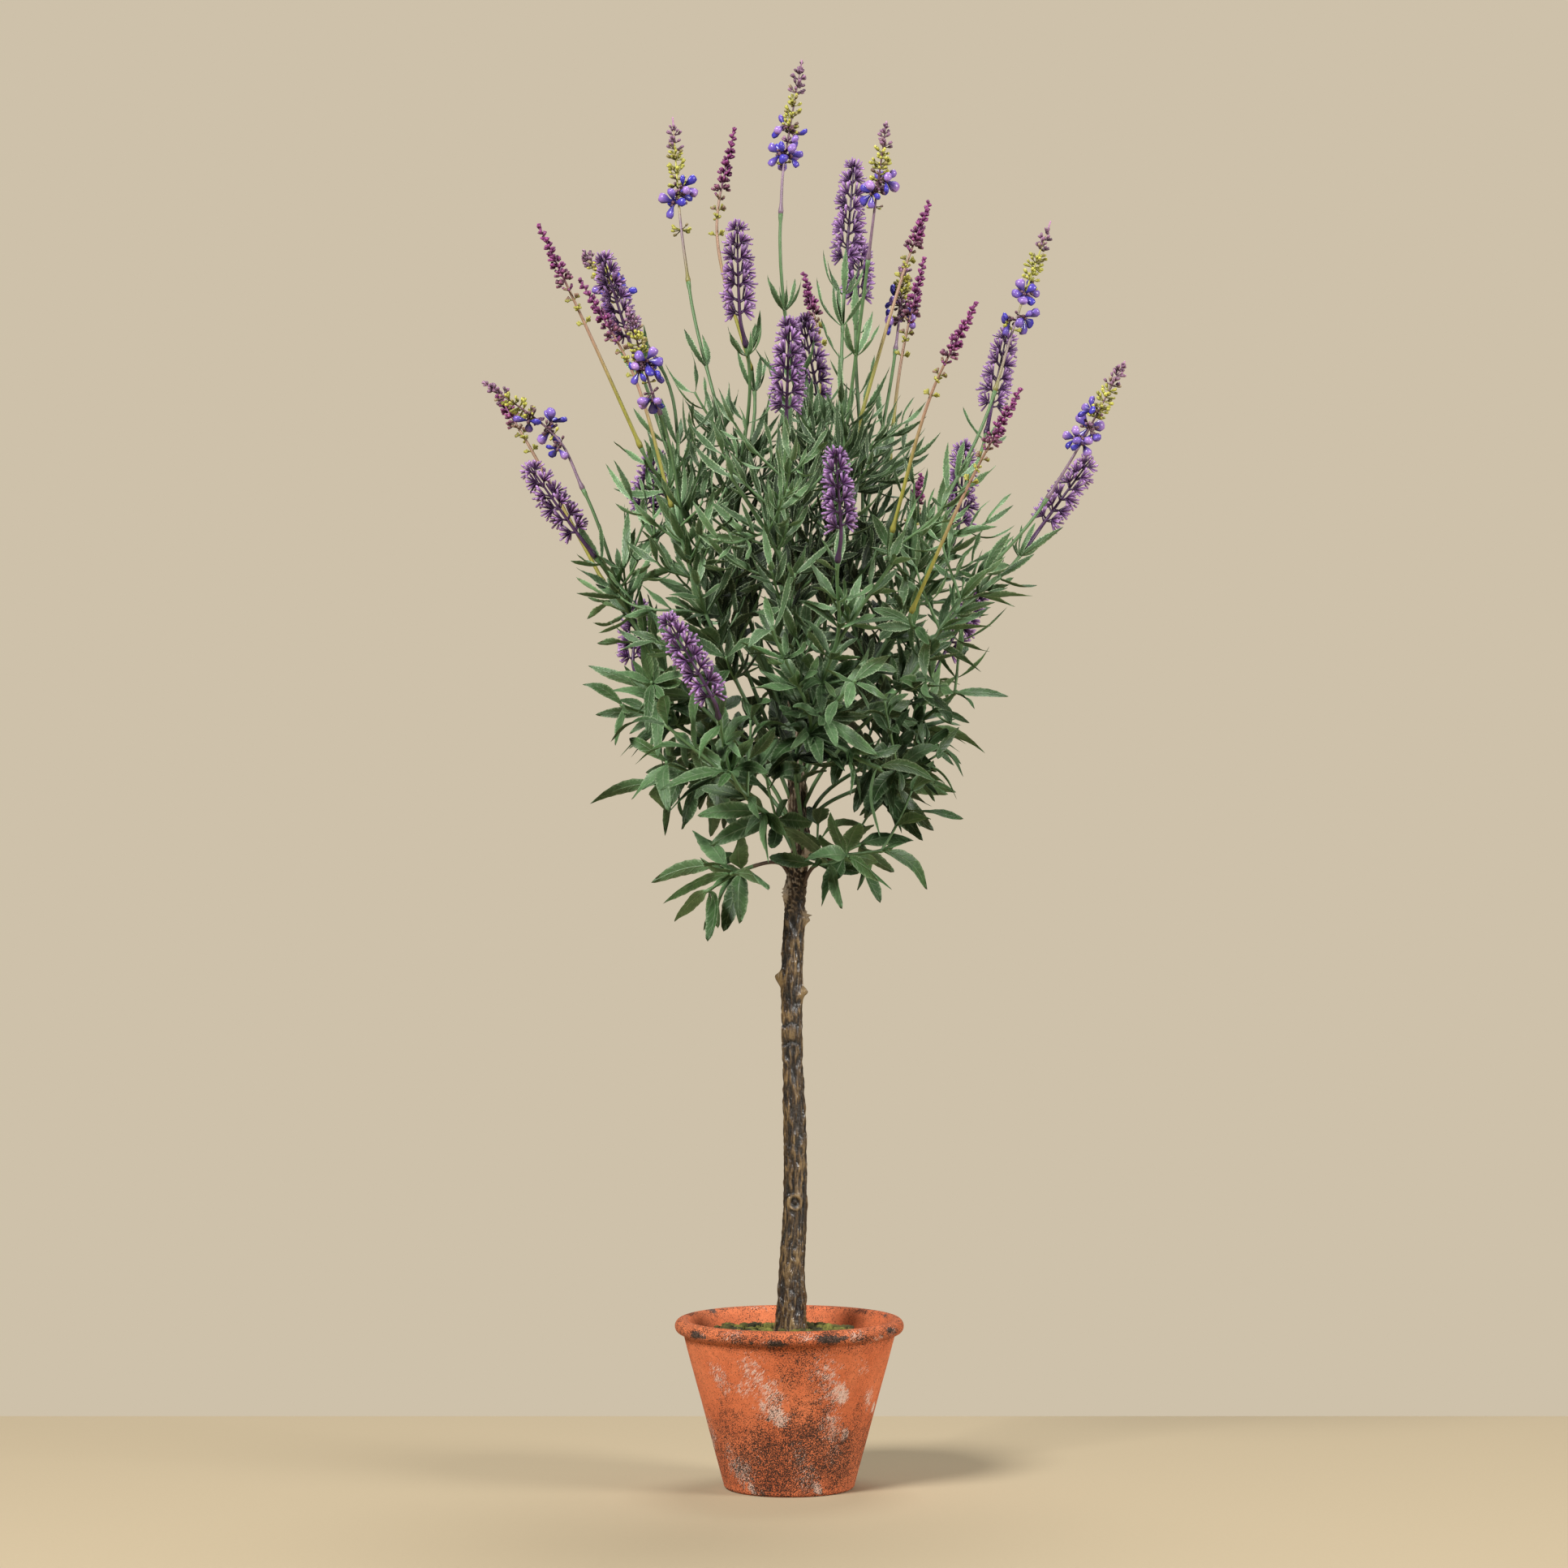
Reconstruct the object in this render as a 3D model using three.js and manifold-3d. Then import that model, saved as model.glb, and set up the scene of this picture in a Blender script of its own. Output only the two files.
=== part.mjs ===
// A faux lavender standard: a bare trunk with a round head of leafy sprays and flower spikes,
// standing in a beaded terracotta pot. Millimetres, +Z up, the viewer looks along +Y.
// The origin is the centre of the pot's flat underside.
import * as THREE from "three";
import { mergeVertices } from "three/addons/utils/BufferGeometryUtils.js";
import Module from "manifold-3d";

const wasm = await Module();
wasm.setup();

// Pot
const POT_HEIGHT = 118;
const RIM_RADIUS = 80;
const BODY_TOP_RADIUS = 73.7;
const BASE_RADIUS = 46;
const BEAD_HEIGHT = 14;
const BORE_RADIUS = 69;
const FLOOR_THICKNESS = 8;
const FLOOR_RADIUS = 39;
const DRAIN_RADIUS = 7;
const POT_SIDES = 32;

// What fills the pot
const CLEARANCE = 0.4;
const BALLAST_TOP = 92;
const SOIL_TOP = 102;
const MOSS_SIDES = 18;
const SOCKET_RADIUS = 12.8;
const SOCKET_FLOOR = 20;

// Trunk: height, sideways offset and diameter, from the socket to the cut top inside the head
const TRUNK = [
  [SOCKET_FLOOR + CLEARANCE, 0, 23.6],
  [SOIL_TOP + 3, 0.4, 23.6],
  [124, 1.2, 20.8],
  [154, 2, 17.4],
  [194, 4.2, 16.2],
  [240, 4.1, 15.6],
  [298, 2.3, 14.1],
  [359, 1.4, 14.7],
  [408, 4.1, 14.1],
  [433, 5.7, 14.7],
  [450, 9, 12.4],
  [470, 5.4, 12.7],
  [493, 5, 12],
  [520, 4, 10.4],
  [556, 4, 8.6],
];
const TRUNK_SIDES = 8;
const FLUTE_DEPTH = 0.05;

// Knots and pruning scars: height, direction round the trunk, width, and how far they stand out
const KNOTS = [
  { height: 397, degrees: 0, width: 7, stand: 3.2 },
  { height: 356, degrees: 180, width: 6, stand: 2.6 },
  { height: 346, degrees: 0, width: 6, stand: 2.4 },
  { height: 415, degrees: 185, width: 8, stand: 1.8 },
  { height: 199, degrees: 268, width: 9, stand: 1.4 },
  { height: 447, degrees: -28, width: 6, stand: 6 },
];

// Stems and spikes
const STEM_RADIUS = 1.45;
const FOOT_RADIUS = 1.65;
const COLLAR_RADIUS = 1.9;
const COLLAR_HEIGHT = 4.5;
const BRANCH_SPACING = 9;
const LONGEST_STRAIGHT = 52;
const JOINT_GAP = 0.3;
const STEM_SIDES = 4;
const NODE_HEIGHT = 2.6;
const LEAF_SPACING = 50;
const RIB_THICKNESS = 1.3;
const BARE_BELOW_COLLAR = { blossom: 62, bead: 10, comb: 1 };

// Flower spikes: rows of florets round a core, and how far the florets reach
const SPIKES = {
  comb: { sides: 5, rows: 6, core: 2.3, reach: 9.5, lift: 4.5, colour: 0x6b4785, rough: 0.5 },
  bead: { sides: 4, rows: 7, core: 1.6, reach: 4.2, lift: 2, colour: 0x7a2f66, rough: 0.5 },
  blossom: { sides: 5, rows: 6, core: 1.8, reach: 5.5, lift: 2, colour: 0x6456c8, rough: 0.35 },
};

const PETALS = 4;

// Leaf outlines: [share of the length, share of the half width] down one toothed edge
const LANCE = { rib: [0.24], edge: [[0.24, 0.9], [0.38, 0.66], [0.56, 1]] };
const BROAD = { rib: [0.28], edge: [[0.2, 0.52], [0.42, 1], [0.54, 0.74], [0.68, 0.84]] };

// Sprays: where each leaves the trunk, where it forks, and its flower spikes from tip to joint.
// A shoot is a leafy stem without a flower.
const SPRAYS = [
  {
    name: "lavender_spray_1",
    root: 470,
    fork: [-106, 13, 598],
    flowers: [
      { kind: "blossom", tip: [-217, 39, 774], neck: [-164, 32, 734], joint: [-145, 26, 697] },
      { kind: "bead", tip: [-213, 98, 776], neck: [-184, 81, 728], joint: [-132, 65, 633] },
      { kind: "comb", tip: [-180, -26, 710], neck: [-146, -21, 662], joint: [-135, -16, 648] },
    ],
  },
  {
    name: "lavender_spray_2",
    root: 500,
    fork: [-70, 20, 675],
    flowers: [
      { kind: "blossom", tip: [-148, 78, 872], neck: [-120, 68, 833], joint: [-93, 58, 789] },
      { kind: "bead", tip: [-172, -39, 873], neck: [-141, -32, 807], joint: [-103, -26, 723] },
      { kind: "comb", tip: [-131, 13, 860], neck: [-112, 16, 800], joint: [-106, 20, 784] },
    ],
  },
  {
    name: "lavender_spray_3",
    root: 485,
    fork: [-62, -32, 619],
    flowers: [
      { kind: "blossom", tip: [-110, -78, 814], neck: [-95, -70, 761], joint: [-88, -62, 742] },
      { kind: "bead", tip: [-144, -29, 837], neck: [-107, -34, 771], joint: [-81, -39, 681] },
      { kind: "comb", tip: [-95, 58, 722], neck: [-102, 49, 684], joint: [-97, 39, 668] },
    ],
  },
  {
    name: "lavender_spray_4",
    root: 530,
    fork: [-38, 26, 670],
    flowers: [
      { kind: "blossom", tip: [-84, 104, 971], neck: [-78, 88, 894], joint: [-72, 72, 848] },
      { kind: "bead", tip: [-39, 52, 953], neck: [-51, 44, 877], joint: [-27, 36, 782] },
      { kind: "comb", tip: [-36, -39, 875], neck: [-34, -31, 811], joint: [-30, -23, 793] },
    ],
  },
  {
    name: "lavender_spray_5",
    root: 540,
    fork: [7, 20, 686],
    flowers: [
      { kind: "blossom", tip: [9, 26, 999], neck: [-4, 23, 922], joint: [-6, 20, 890] },
      { kind: "bead", tip: [11, 117, 858], neck: [22, 98, 805], joint: [23, 78, 760] },
      { kind: "comb", tip: [9, 46, 820], neck: [20, 39, 761], joint: [17, 32, 745] },
    ],
  },
  {
    name: "lavender_spray_6",
    root: 530,
    fork: [30, -6, 668],
    flowers: [
      { kind: "blossom", tip: [66, -78, 940], neck: [58, -65, 881], joint: [54, -52, 849] },
      { kind: "bead", tip: [97, 0, 894], neck: [78, -3, 841], joint: [46, -6, 732] },
      { kind: "comb", tip: [46, 46, 930], neck: [40, 39, 857], joint: [39, 32, 841] },
    ],
  },
  {
    name: "lavender_spray_7",
    root: 520,
    fork: [51, 65, 661],
    flowers: [
      { kind: "blossom", tip: [85, 156, 872], neck: [80, 136, 827], joint: [77, 117, 804] },
      { kind: "bead", tip: [96, 65, 863], neck: [80, 60, 793], joint: [71, 55, 720] },
      { kind: "comb", tip: [51, 117, 881], neck: [49, 105, 839], joint: [48, 94, 821] },
    ],
  },
  {
    name: "lavender_spray_8",
    root: 500,
    fork: [83, -13, 625],
    flowers: [
      { kind: "blossom", tip: [184, 26, 886], neck: [159, 20, 815], joint: [144, 13, 765] },
      { kind: "bead", tip: [125, -110, 812], neck: [95, -91, 751], joint: [70, -72, 662] },
      { kind: "comb", tip: [156, 84, 813], neck: [144, 72, 757], joint: [140, 58, 739] },
    ],
  },
  {
    name: "lavender_spray_9",
    root: 478,
    fork: [99, -39, 588],
    flowers: [
      { kind: "blossom", tip: [231, -39, 781], neck: [200, -34, 723], joint: [178, -29, 687] },
      { kind: "bead", tip: [154, -124, 753], neck: [121, -101, 692], joint: [83, -78, 607] },
      { kind: "comb", tip: [212, 32, 718], neck: [178, 23, 672], joint: [165, 13, 654] },
    ],
  },
  {
    name: "lavender_spray_10",
    root: 490,
    fork: [78, 84, 604],
    flowers: [
      { kind: "bead", tip: [97, 162, 715], neck: [89, 146, 680], joint: [85, 130, 662] },
      { kind: "comb", tip: [125, 84, 734], neck: [121, 78, 674], joint: [116, 72, 661] },
    ],
  },
  {
    name: "lavender_spray_11",
    root: 495,
    fork: [30, -98, 580],
    flowers: [
      { kind: "comb", tip: [30, -169, 709], neck: [34, -157, 656], joint: [32, -146, 638] },
    ],
    shoots: [[69, -124, 638]],
  },
  {
    name: "lavender_spray_12",
    root: 515,
    fork: [-6, -58, 642],
    flowers: [
      { kind: "comb", tip: [0, -104, 802], neck: [-2, -96, 740], joint: [-2, -88, 728] },
    ],
    shoots: [[-40, -98, 698]],
  },
  {
    name: "lavender_spray_13",
    root: 440,
    fork: [-32, -98, 485],
    flowers: [
      { kind: "comb", tip: [-81, -182, 599], neck: [-50, -168, 545], joint: [-47, -153, 534] },
    ],
    shoots: [[-84, -110, 530]],
  },
  {
    name: "lavender_spray_14",
    root: 455,
    fork: [-76, 52, 530],
    flowers: [
      { kind: "comb", tip: [-108, 98, 619], neck: [-112, 88, 578], joint: [-108, 78, 564] },
    ],
    shoots: [[-118, 13, 545], [-95, -32, 560]],
  },
  {
    name: "lavender_spray_15",
    root: 462,
    fork: [76, 65, 519],
    flowers: [
      { kind: "comb", tip: [138, 124, 627], neck: [112, 110, 584], joint: [105, 98, 570] },
    ],
    shoots: [[118, 26, 555], [101, 117, 530]],
  },
  {
    name: "leafy_spray_1",
    root: 430,
    fork: [-30, -16, 431],
    flowers: [],
    shoots: [[-58, -26, 415], [-40, -52, 428], [-52, 18, 432]],
  },
  {
    name: "leafy_spray_2",
    root: 424,
    fork: [28, -18, 438],
    flowers: [],
    shoots: [[66, -32, 444], [50, 6, 448], [40, -65, 440]],
  },
  {
    name: "leafy_spray_3",
    root: 450,
    fork: [10, -62, 520],
    flowers: [],
    shoots: [[-12, -130, 594], [44, -130, 559], [62, -91, 500]],
  },
  {
    name: "leafy_spray_4",
    root: 446,
    fork: [-50, 23, 490],
    flowers: [],
    shoots: [[-86, -6, 505], [-60, 78, 515], [-95, 58, 490]],
  },
  {
    name: "leafy_spray_5",
    root: 462,
    fork: [52, 13, 488],
    flowers: [],
    shoots: [[96, 20, 515], [75, -52, 500], [80, 78, 490]],
  },
  {
    name: "leafy_spray_6",
    root: 470,
    fork: [-5, 78, 540],
    flowers: [],
    shoots: [[-50, 130, 611], [10, 150, 642], [45, 136, 571]],
  },
];

const UP = new THREE.Vector3(0, 0, 1);
const DEPTH = new THREE.Vector3(0, 1, 0);
const point = ([x, y, z]) => new THREE.Vector3(x, y, z);
const mix = (a, b, share) => a + (b - a) * share;
const range = (count) => Array.from({ length: count }, (_, i) => i);

// Random draws that come out the same on every run
function drawsFrom(seed) {
  let state = seed >>> 0;
  return (low, high) => {
    state = (Math.imul(state, 1664525) + 1013904223) >>> 0;
    return mix(low, high, state / 4294967296);
  };
}

// Solids

function solidOf(geometry) {
  geometry.deleteAttribute("normal");
  geometry.deleteAttribute("uv");
  const merged = mergeVertices(geometry, 1e-3);
  return new wasm.Manifold(
    new wasm.Mesh({
      numProp: 3,
      vertProperties: merged.attributes.position.array,
      triVerts: new Uint32Array(merged.index.array),
    }),
  );
}

function solidFromFaces(points, faces) {
  const geometry = new THREE.BufferGeometry();
  const numbers = points.flatMap((p) => p.toArray());
  geometry.setAttribute("position", new THREE.Float32BufferAttribute(numbers, 3));
  geometry.setIndex(faces.flat());
  return solidOf(geometry);
}

const joined = (solids) => solids.reduce((whole, solid) => whole.add(solid));

function turned(profile, sides) {
  const outline = profile.map(([radius, height]) => new THREE.Vector2(radius, height));
  return solidOf(new THREE.LatheGeometry(outline, sides).rotateX(Math.PI / 2));
}

// A skin over rings of points, each ring turning left round the way to the next one. A ring of one
// point closes the skin to a tip, and a last ring that lies on the first closes it to a hoop.
// Where grow gives an outgrowth for a four-cornered face, it takes the place of that face: its
// faces number the corners 0 to 3, bottom left, bottom right, top right, top left as seen from
// outside, and its own points from 4.
function loft(rings, grow = () => null) {
  const points = rings.flat();
  const starts = rings.map((_, r) => rings.slice(0, r).reduce((sum, ring) => sum + ring.length, 0));
  const faces = [];
  for (let row = 0; row + 1 < rings.length; row++) {
    const count = Math.max(rings[row].length, rings[row + 1].length);
    const corner = (r, side) => starts[r] + (rings[r].length === 1 ? 0 : side % count);
    for (let side = 0; side < count; side++) {
      const all = [corner(row, side), corner(row, side + 1)];
      all.push(corner(row + 1, side + 1), corner(row + 1, side));
      const loop = all.filter((c, i) => c !== all[(i + 1) % 4]);
      const growth = loop.length === 4 && grow(row, side, loop.map((c) => points[c]));
      if (growth) {
        const first = points.length - 4;
        points.push(...growth.points);
        growth.faces.forEach((face) => faces.push(face.map((c) => (c < 4 ? loop[c] : first + c))));
      } else {
        for (let i = 1; i + 1 < loop.length; i++) faces.push([loop[0], loop[i], loop[i + 1]]);
      }
    }
  }
  const end = rings.length - 1;
  const hoop = rings[0].length > 1 && rings[0][0].distanceTo(rings[end][0]) < 1e-6;
  for (let i = 1; !hoop && i + 1 < rings[0].length; i++) faces.push([0, i + 1, i]);
  for (let i = 1; !hoop && i + 1 < rings[end].length; i++)
    faces.push([starts[end], starts[end] + i, starts[end] + i + 1]);
  return solidFromFaces(points, faces);
}

const middleOf = (corners) =>
  corners.reduce((sum, c) => sum.add(c), new THREE.Vector3()).divideScalar(corners.length);

// Outgrowths: a pointed floret, and a petal with a rounded belly
const floret = (tip) => ({
  points: [tip],
  faces: [[0, 1, 4], [1, 2, 4], [2, 3, 4], [3, 0, 4]],
});

function petal(corners, tip, girth) {
  const centre = middleOf(corners);
  const belly = centre.clone().lerp(tip, 0.66);
  const sides = range(4).map((i) => [i, (i + 1) % 4]);
  return {
    points: [
      ...corners.map((c) => belly.clone().addScaledVector(c.clone().sub(centre).normalize(), girth)),
      tip,
    ],
    faces: sides.flatMap(([i, j]) => [[i, j, j + 4], [i, j + 4, i + 4], [i + 4, j + 4, 8]]),
  };
}

// Two directions square to a given one and to each other
function squareTo(direction) {
  const across = new THREE.Vector3().crossVectors(direction, DEPTH).normalize();
  return [across, new THREE.Vector3().crossVectors(direction, across).normalize()];
}

function ringAt(centre, direction, radius, sides, turn = 0) {
  const [across, over] = squareTo(direction);
  return range(sides).map((i) => {
    const angle = ((i + turn) / sides) * 2 * Math.PI;
    return centre
      .clone()
      .addScaledVector(across, radius * Math.cos(angle))
      .addScaledVector(over, radius * Math.sin(angle));
  });
}

// A level circle, its radius and height given by the number of the corner
const circle = (sides, radiusAt, heightAt) =>
  range(sides).map((i) => {
    const angle = (i / sides) * 2 * Math.PI;
    const radius = radiusAt(i);
    return new THREE.Vector3(radius * Math.cos(angle), radius * Math.sin(angle), heightAt(i));
  });

// Routes

// A route through cubic curves, each given by four points, measured by its length
class Route {
  constructor(curves, steps = 12) {
    this.points = curves.flatMap((curve, n) =>
      range(steps + 1)
        .slice(n ? 1 : 0)
        .map((i) => Route.onCurve(curve, i / steps)),
    );
    this.reached = [0];
    this.points.slice(1).forEach((p, i) => {
      this.reached.push(this.reached[i] + p.distanceTo(this.points[i]));
    });
    this.length = this.reached.at(-1);
    this.headings = this.points.map((_, i) => {
      const ahead = this.points[Math.min(i + 1, this.points.length - 1)];
      return ahead.clone().sub(this.points[Math.max(i - 1, 0)]).normalize();
    });
  }

  static onCurve([a, b, c, d], t) {
    const s = 1 - t;
    return new THREE.Vector3()
      .addScaledVector(a, s * s * s)
      .addScaledVector(b, 3 * s * s * t)
      .addScaledVector(c, 3 * s * t * t)
      .addScaledVector(d, t * t * t);
  }

  at(distance) {
    const found = this.reached.findIndex((reached) => reached >= distance);
    const next = found < 0 ? this.points.length - 1 : Math.max(found, 1);
    const share = (distance - this.reached[next - 1]) / (this.reached[next] - this.reached[next - 1]);
    return {
      place: this.points[next - 1].clone().lerp(this.points[next], share),
      heading: this.headings[next - 1].clone().lerp(this.headings[next], share).normalize(),
    };
  }
}

// Pot and filling

const BORE_TOP = POT_HEIGHT - 8;
const boreAt = (z) =>
  mix(FLOOR_RADIUS, BORE_RADIUS, (z - FLOOR_THICKNESS) / (BORE_TOP - FLOOR_THICKNESS));

function potSolid() {
  const beadFoot = POT_HEIGHT - BEAD_HEIGHT;
  return turned(
    [
      [DRAIN_RADIUS, 0],
      [BASE_RADIUS - 2, 0],
      [BASE_RADIUS, 2],
      [BODY_TOP_RADIUS, beadFoot - 0.5],
      [RIM_RADIUS - 1.6, beadFoot + 2],
      [RIM_RADIUS, beadFoot + 7],
      [RIM_RADIUS - 2.2, POT_HEIGHT - 2],
      [RIM_RADIUS - 6, POT_HEIGHT],
      [BORE_RADIUS + 0.8, POT_HEIGHT - 3.5],
      [BORE_RADIUS, BORE_TOP],
      [FLOOR_RADIUS, FLOOR_THICKNESS],
      [DRAIN_RADIUS, FLOOR_THICKNESS],
      [DRAIN_RADIUS, 0],
    ],
    POT_SIDES,
  );
}

function ballastSolid() {
  const foot = FLOOR_THICKNESS + CLEARANCE;
  return turned(
    [
      [0, 0],
      [DRAIN_RADIUS - CLEARANCE, 0],
      [DRAIN_RADIUS - CLEARANCE, foot],
      [boreAt(foot) - CLEARANCE, foot],
      [boreAt(BALLAST_TOP) - CLEARANCE, BALLAST_TOP],
      [SOCKET_RADIUS, BALLAST_TOP],
      [SOCKET_RADIUS, SOCKET_FLOOR],
      [0, SOCKET_FLOOR],
    ],
    POT_SIDES / 2,
  );
}

// Soil: level where the moss lies, crumbly towards the wall
function soilSolid() {
  const draw = drawsFrom(5);
  const floor = BALLAST_TOP + CLEARANCE;
  const wall = boreAt(floor) - CLEARANCE;
  const ring = (radius, heightAt) => circle(POT_SIDES / 2, () => radius, heightAt);
  return loft([
    ring(SOCKET_RADIUS, () => floor),
    ring(SOCKET_RADIUS, () => SOIL_TOP),
    ring(58, () => SOIL_TOP),
    ring(wall + 2.2, () => SOIL_TOP - draw(0.5, 2.5)),
    ring(wall, () => floor),
    ring(SOCKET_RADIUS, () => floor),
  ].reverse());
}

// Moss: an uneven mat round the trunk, its top raised into pointed tufts
function mossSolid() {
  const draw = drawsFrom(11);
  const floor = SOIL_TOP + CLEARANCE;
  const inner = range(MOSS_SIDES).map(() => 14.5 + draw(0, 4));
  const outer = range(MOSS_SIDES).map((i) => {
    const angle = (i / MOSS_SIDES) * 2 * Math.PI;
    return Math.min(61, 47 + 11 * Math.cos(2 * angle) + draw(-6, 6));
  });
  const ring = (share, height) =>
    circle(MOSS_SIDES, (i) => mix(inner[i], outer[i], share), () => height);
  const rings = [
    ring(0, floor),
    ring(1, floor),
    ring(0.97, floor + 1.6),
    ring(0.5, floor + 2.2),
    ring(0.05, floor + 1.8),
    ring(0, floor),
  ];
  return loft(rings, (row, side, corners) => {
    if (row !== 2 && row !== 3) return null;
    return floret(middleOf(corners).add(point([draw(-3, 3), draw(-3, 3), draw(1, 4)])));
  });
}

// Trunk

function trunkAt(z) {
  const upper = Math.max(1, TRUNK.findIndex(([height]) => height >= z));
  const [z1, x1, d1] = TRUNK[upper];
  const [z0, x0, d0] = TRUNK[upper - 1];
  const share = (z - z0) / (z1 - z0);
  return { x: mix(x0, x1, share), radius: mix(d0, d1, share) / 2 };
}

// Distance from the trunk's axis to its fluted surface, in a direction round it
function barkAt(z, angle) {
  const sector = (2 * Math.PI) / TRUNK_SIDES;
  const turn = (angle + 2 * Math.PI) % (2 * Math.PI);
  const corner = Math.floor(turn / sector);
  const radiusOf = (i) => trunkAt(z).radius * (i % 2 ? 1 - FLUTE_DEPTH : 1);
  const [here, next] = [radiusOf(corner), radiusOf(corner + 1)];
  const past = turn - corner * sector;
  const chord = here * Math.sin(past) + next * Math.sin(sector - past);
  return (here * next * Math.sin(sector)) / chord;
}

function knotSolid({ height, degrees, width, stand }) {
  const { x, radius } = trunkAt(height);
  const angle = THREE.MathUtils.degToRad(degrees);
  const out = new THREE.Vector3(Math.cos(angle), Math.sin(angle), 0.25).normalize();
  const side = new THREE.Vector3().crossVectors(UP, out).normalize();
  const over = new THREE.Vector3().crossVectors(out, side);
  const ring = (distance, size) =>
    range(5).map((i) => {
      const turn = (i / 5) * 2 * Math.PI;
      return new THREE.Vector3(x, 0, height)
        .addScaledVector(out, distance)
        .addScaledVector(side, (size / 2) * Math.cos(turn))
        .addScaledVector(over, (size / 2) * Math.sin(turn));
    });
  return loft([ring(radius * 0.4, width * 1.1), ring(radius + stand, width * 0.6)]);
}

function trunkSolid() {
  const rings = TRUNK.map(([z, x, diameter]) =>
    circle(TRUNK_SIDES, (i) => (diameter / 2) * (i % 2 ? 1 - FLUTE_DEPTH : 1), () => z).map((p) =>
      p.add(point([x, 0, 0])),
    ),
  );
  return joined([loft(rings), ...KNOTS.map(knotSolid)]);
}

// Stems of a spray: an axis from the trunk through the fork to its first end, and a branch from
// near the fork to every other end

const endsOf = ({ fork, flowers, shoots = [] }) => [
  ...flowers.map(({ kind, neck, joint }) => {
    const heading = point(neck).sub(point(joint)).normalize();
    const end = point(joint).addScaledVector(heading, -JOINT_GAP / 2);
    return { end, heading, bare: BARE_BELOW_COLLAR[kind], collar: true };
  }),
  ...shoots.map((shoot) => {
    const end = point(shoot);
    return { end, heading: end.clone().sub(point(fork)).normalize(), bare: 0, collar: false };
  }),
];

function stemsOf(spray, draw) {
  const fork = point(spray.fork);
  const [first, ...others] = endsOf(spray);
  const turn = draw(0, 1);
  const { x } = trunkAt(spray.root);
  const outward = new THREE.Vector3(fork.x - x, fork.y, 0).normalize();
  const climb = UP.clone().multiplyScalar(0.8).addScaledVector(outward, 0.35).normalize();
  const footRing = ringAt(new THREE.Vector3(), climb, FOOT_RADIUS, STEM_SIDES, turn);
  const inward = Math.max(...footRing.map((corner) => -corner.dot(outward)));
  const bark = barkAt(spray.root, Math.atan2(outward.y, outward.x));
  const foot = new THREE.Vector3(x, 0, spray.root);
  foot.addScaledVector(outward, bark + inward + JOINT_GAP);
  const lean = endsOf(spray)
    .reduce((sum, { end }) => sum.add(end.clone().sub(fork).normalize()), new THREE.Vector3())
    .normalize();
  const curve = (start, leaving, end, arriving) => {
    const reach = start.distanceTo(end) * 0.35;
    return [
      start,
      start.clone().addScaledVector(leaving, reach),
      end.clone().addScaledVector(arriving, -reach),
      end,
    ];
  };
  const lower = curve(foot, climb, fork, lean);
  const axis = new Route([lower, curve(fork, lean, first.end, first.heading)]);
  const forkAt = axis.reached[12];
  const knees = others.map((_, i) => forkAt + (i - (others.length - 1) / 2) * BRANCH_SPACING);
  const branches = others.map(({ end, heading, ...rest }, i) => {
    const start = axis.at(knees[i]);
    const leaving = end.clone().sub(start.place).normalize().lerp(start.heading, 0.45).normalize();
    const route = new Route([curve(start.place, leaving, end, heading)]);
    return { route, turn: draw(0, 1), knees: [], leafless: 12, ...rest };
  });
  const { bare, collar } = first;
  return [{ route: axis, turn, knees, leafless: forkAt * 0.6, bare, collar }, ...branches];
}

// A stem with its leaves. Each leaf grows from a face of the stem between two close rings.
function stemSolid({ route, knees, collar, turn }, leaves) {
  const { length } = route;
  const nodes = [...new Set(leaves.map((leaf) => leaf.distance))];
  const nodeEnds = nodes.flatMap((d) => [d - NODE_HEIGHT / 2, d + NODE_HEIGHT / 2]);
  const clear = knees.filter((knee) => nodes.every((d) => Math.abs(d - knee) > NODE_HEIGHT));
  const collarFoot = collar ? [length - COLLAR_HEIGHT] : [];
  const marks = [0, ...nodeEnds, ...clear, ...collarFoot, length].sort((a, b) => a - b);
  const spread = marks.flatMap((mark, i) => {
    const gap = i ? mark - marks[i - 1] : 0;
    const between = Math.floor(gap / LONGEST_STRAIGHT);
    return [...range(between).map((n) => mark - (gap * (between - n)) / (between + 1)), mark];
  });
  const radiusAt = (d) => {
    if (collar && d === length) return COLLAR_RADIUS;
    return mix(FOOT_RADIUS, collar ? 1.3 : 1, d / length);
  };
  const rings = spread.map((d) => {
    const { place, heading } = route.at(d);
    return ringAt(place, heading, radiusAt(d), STEM_SIDES, turn);
  });
  return loft(rings, (row, side, corners) => {
    const low = spread[row];
    const leaf = leaves.find(
      (l) => l.side === side && Math.abs(l.distance - NODE_HEIGHT / 2 - low) < 1e-6,
    );
    return leaf ? leafGrowth(leaf, corners) : null;
  });
}

// Leaves

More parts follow.
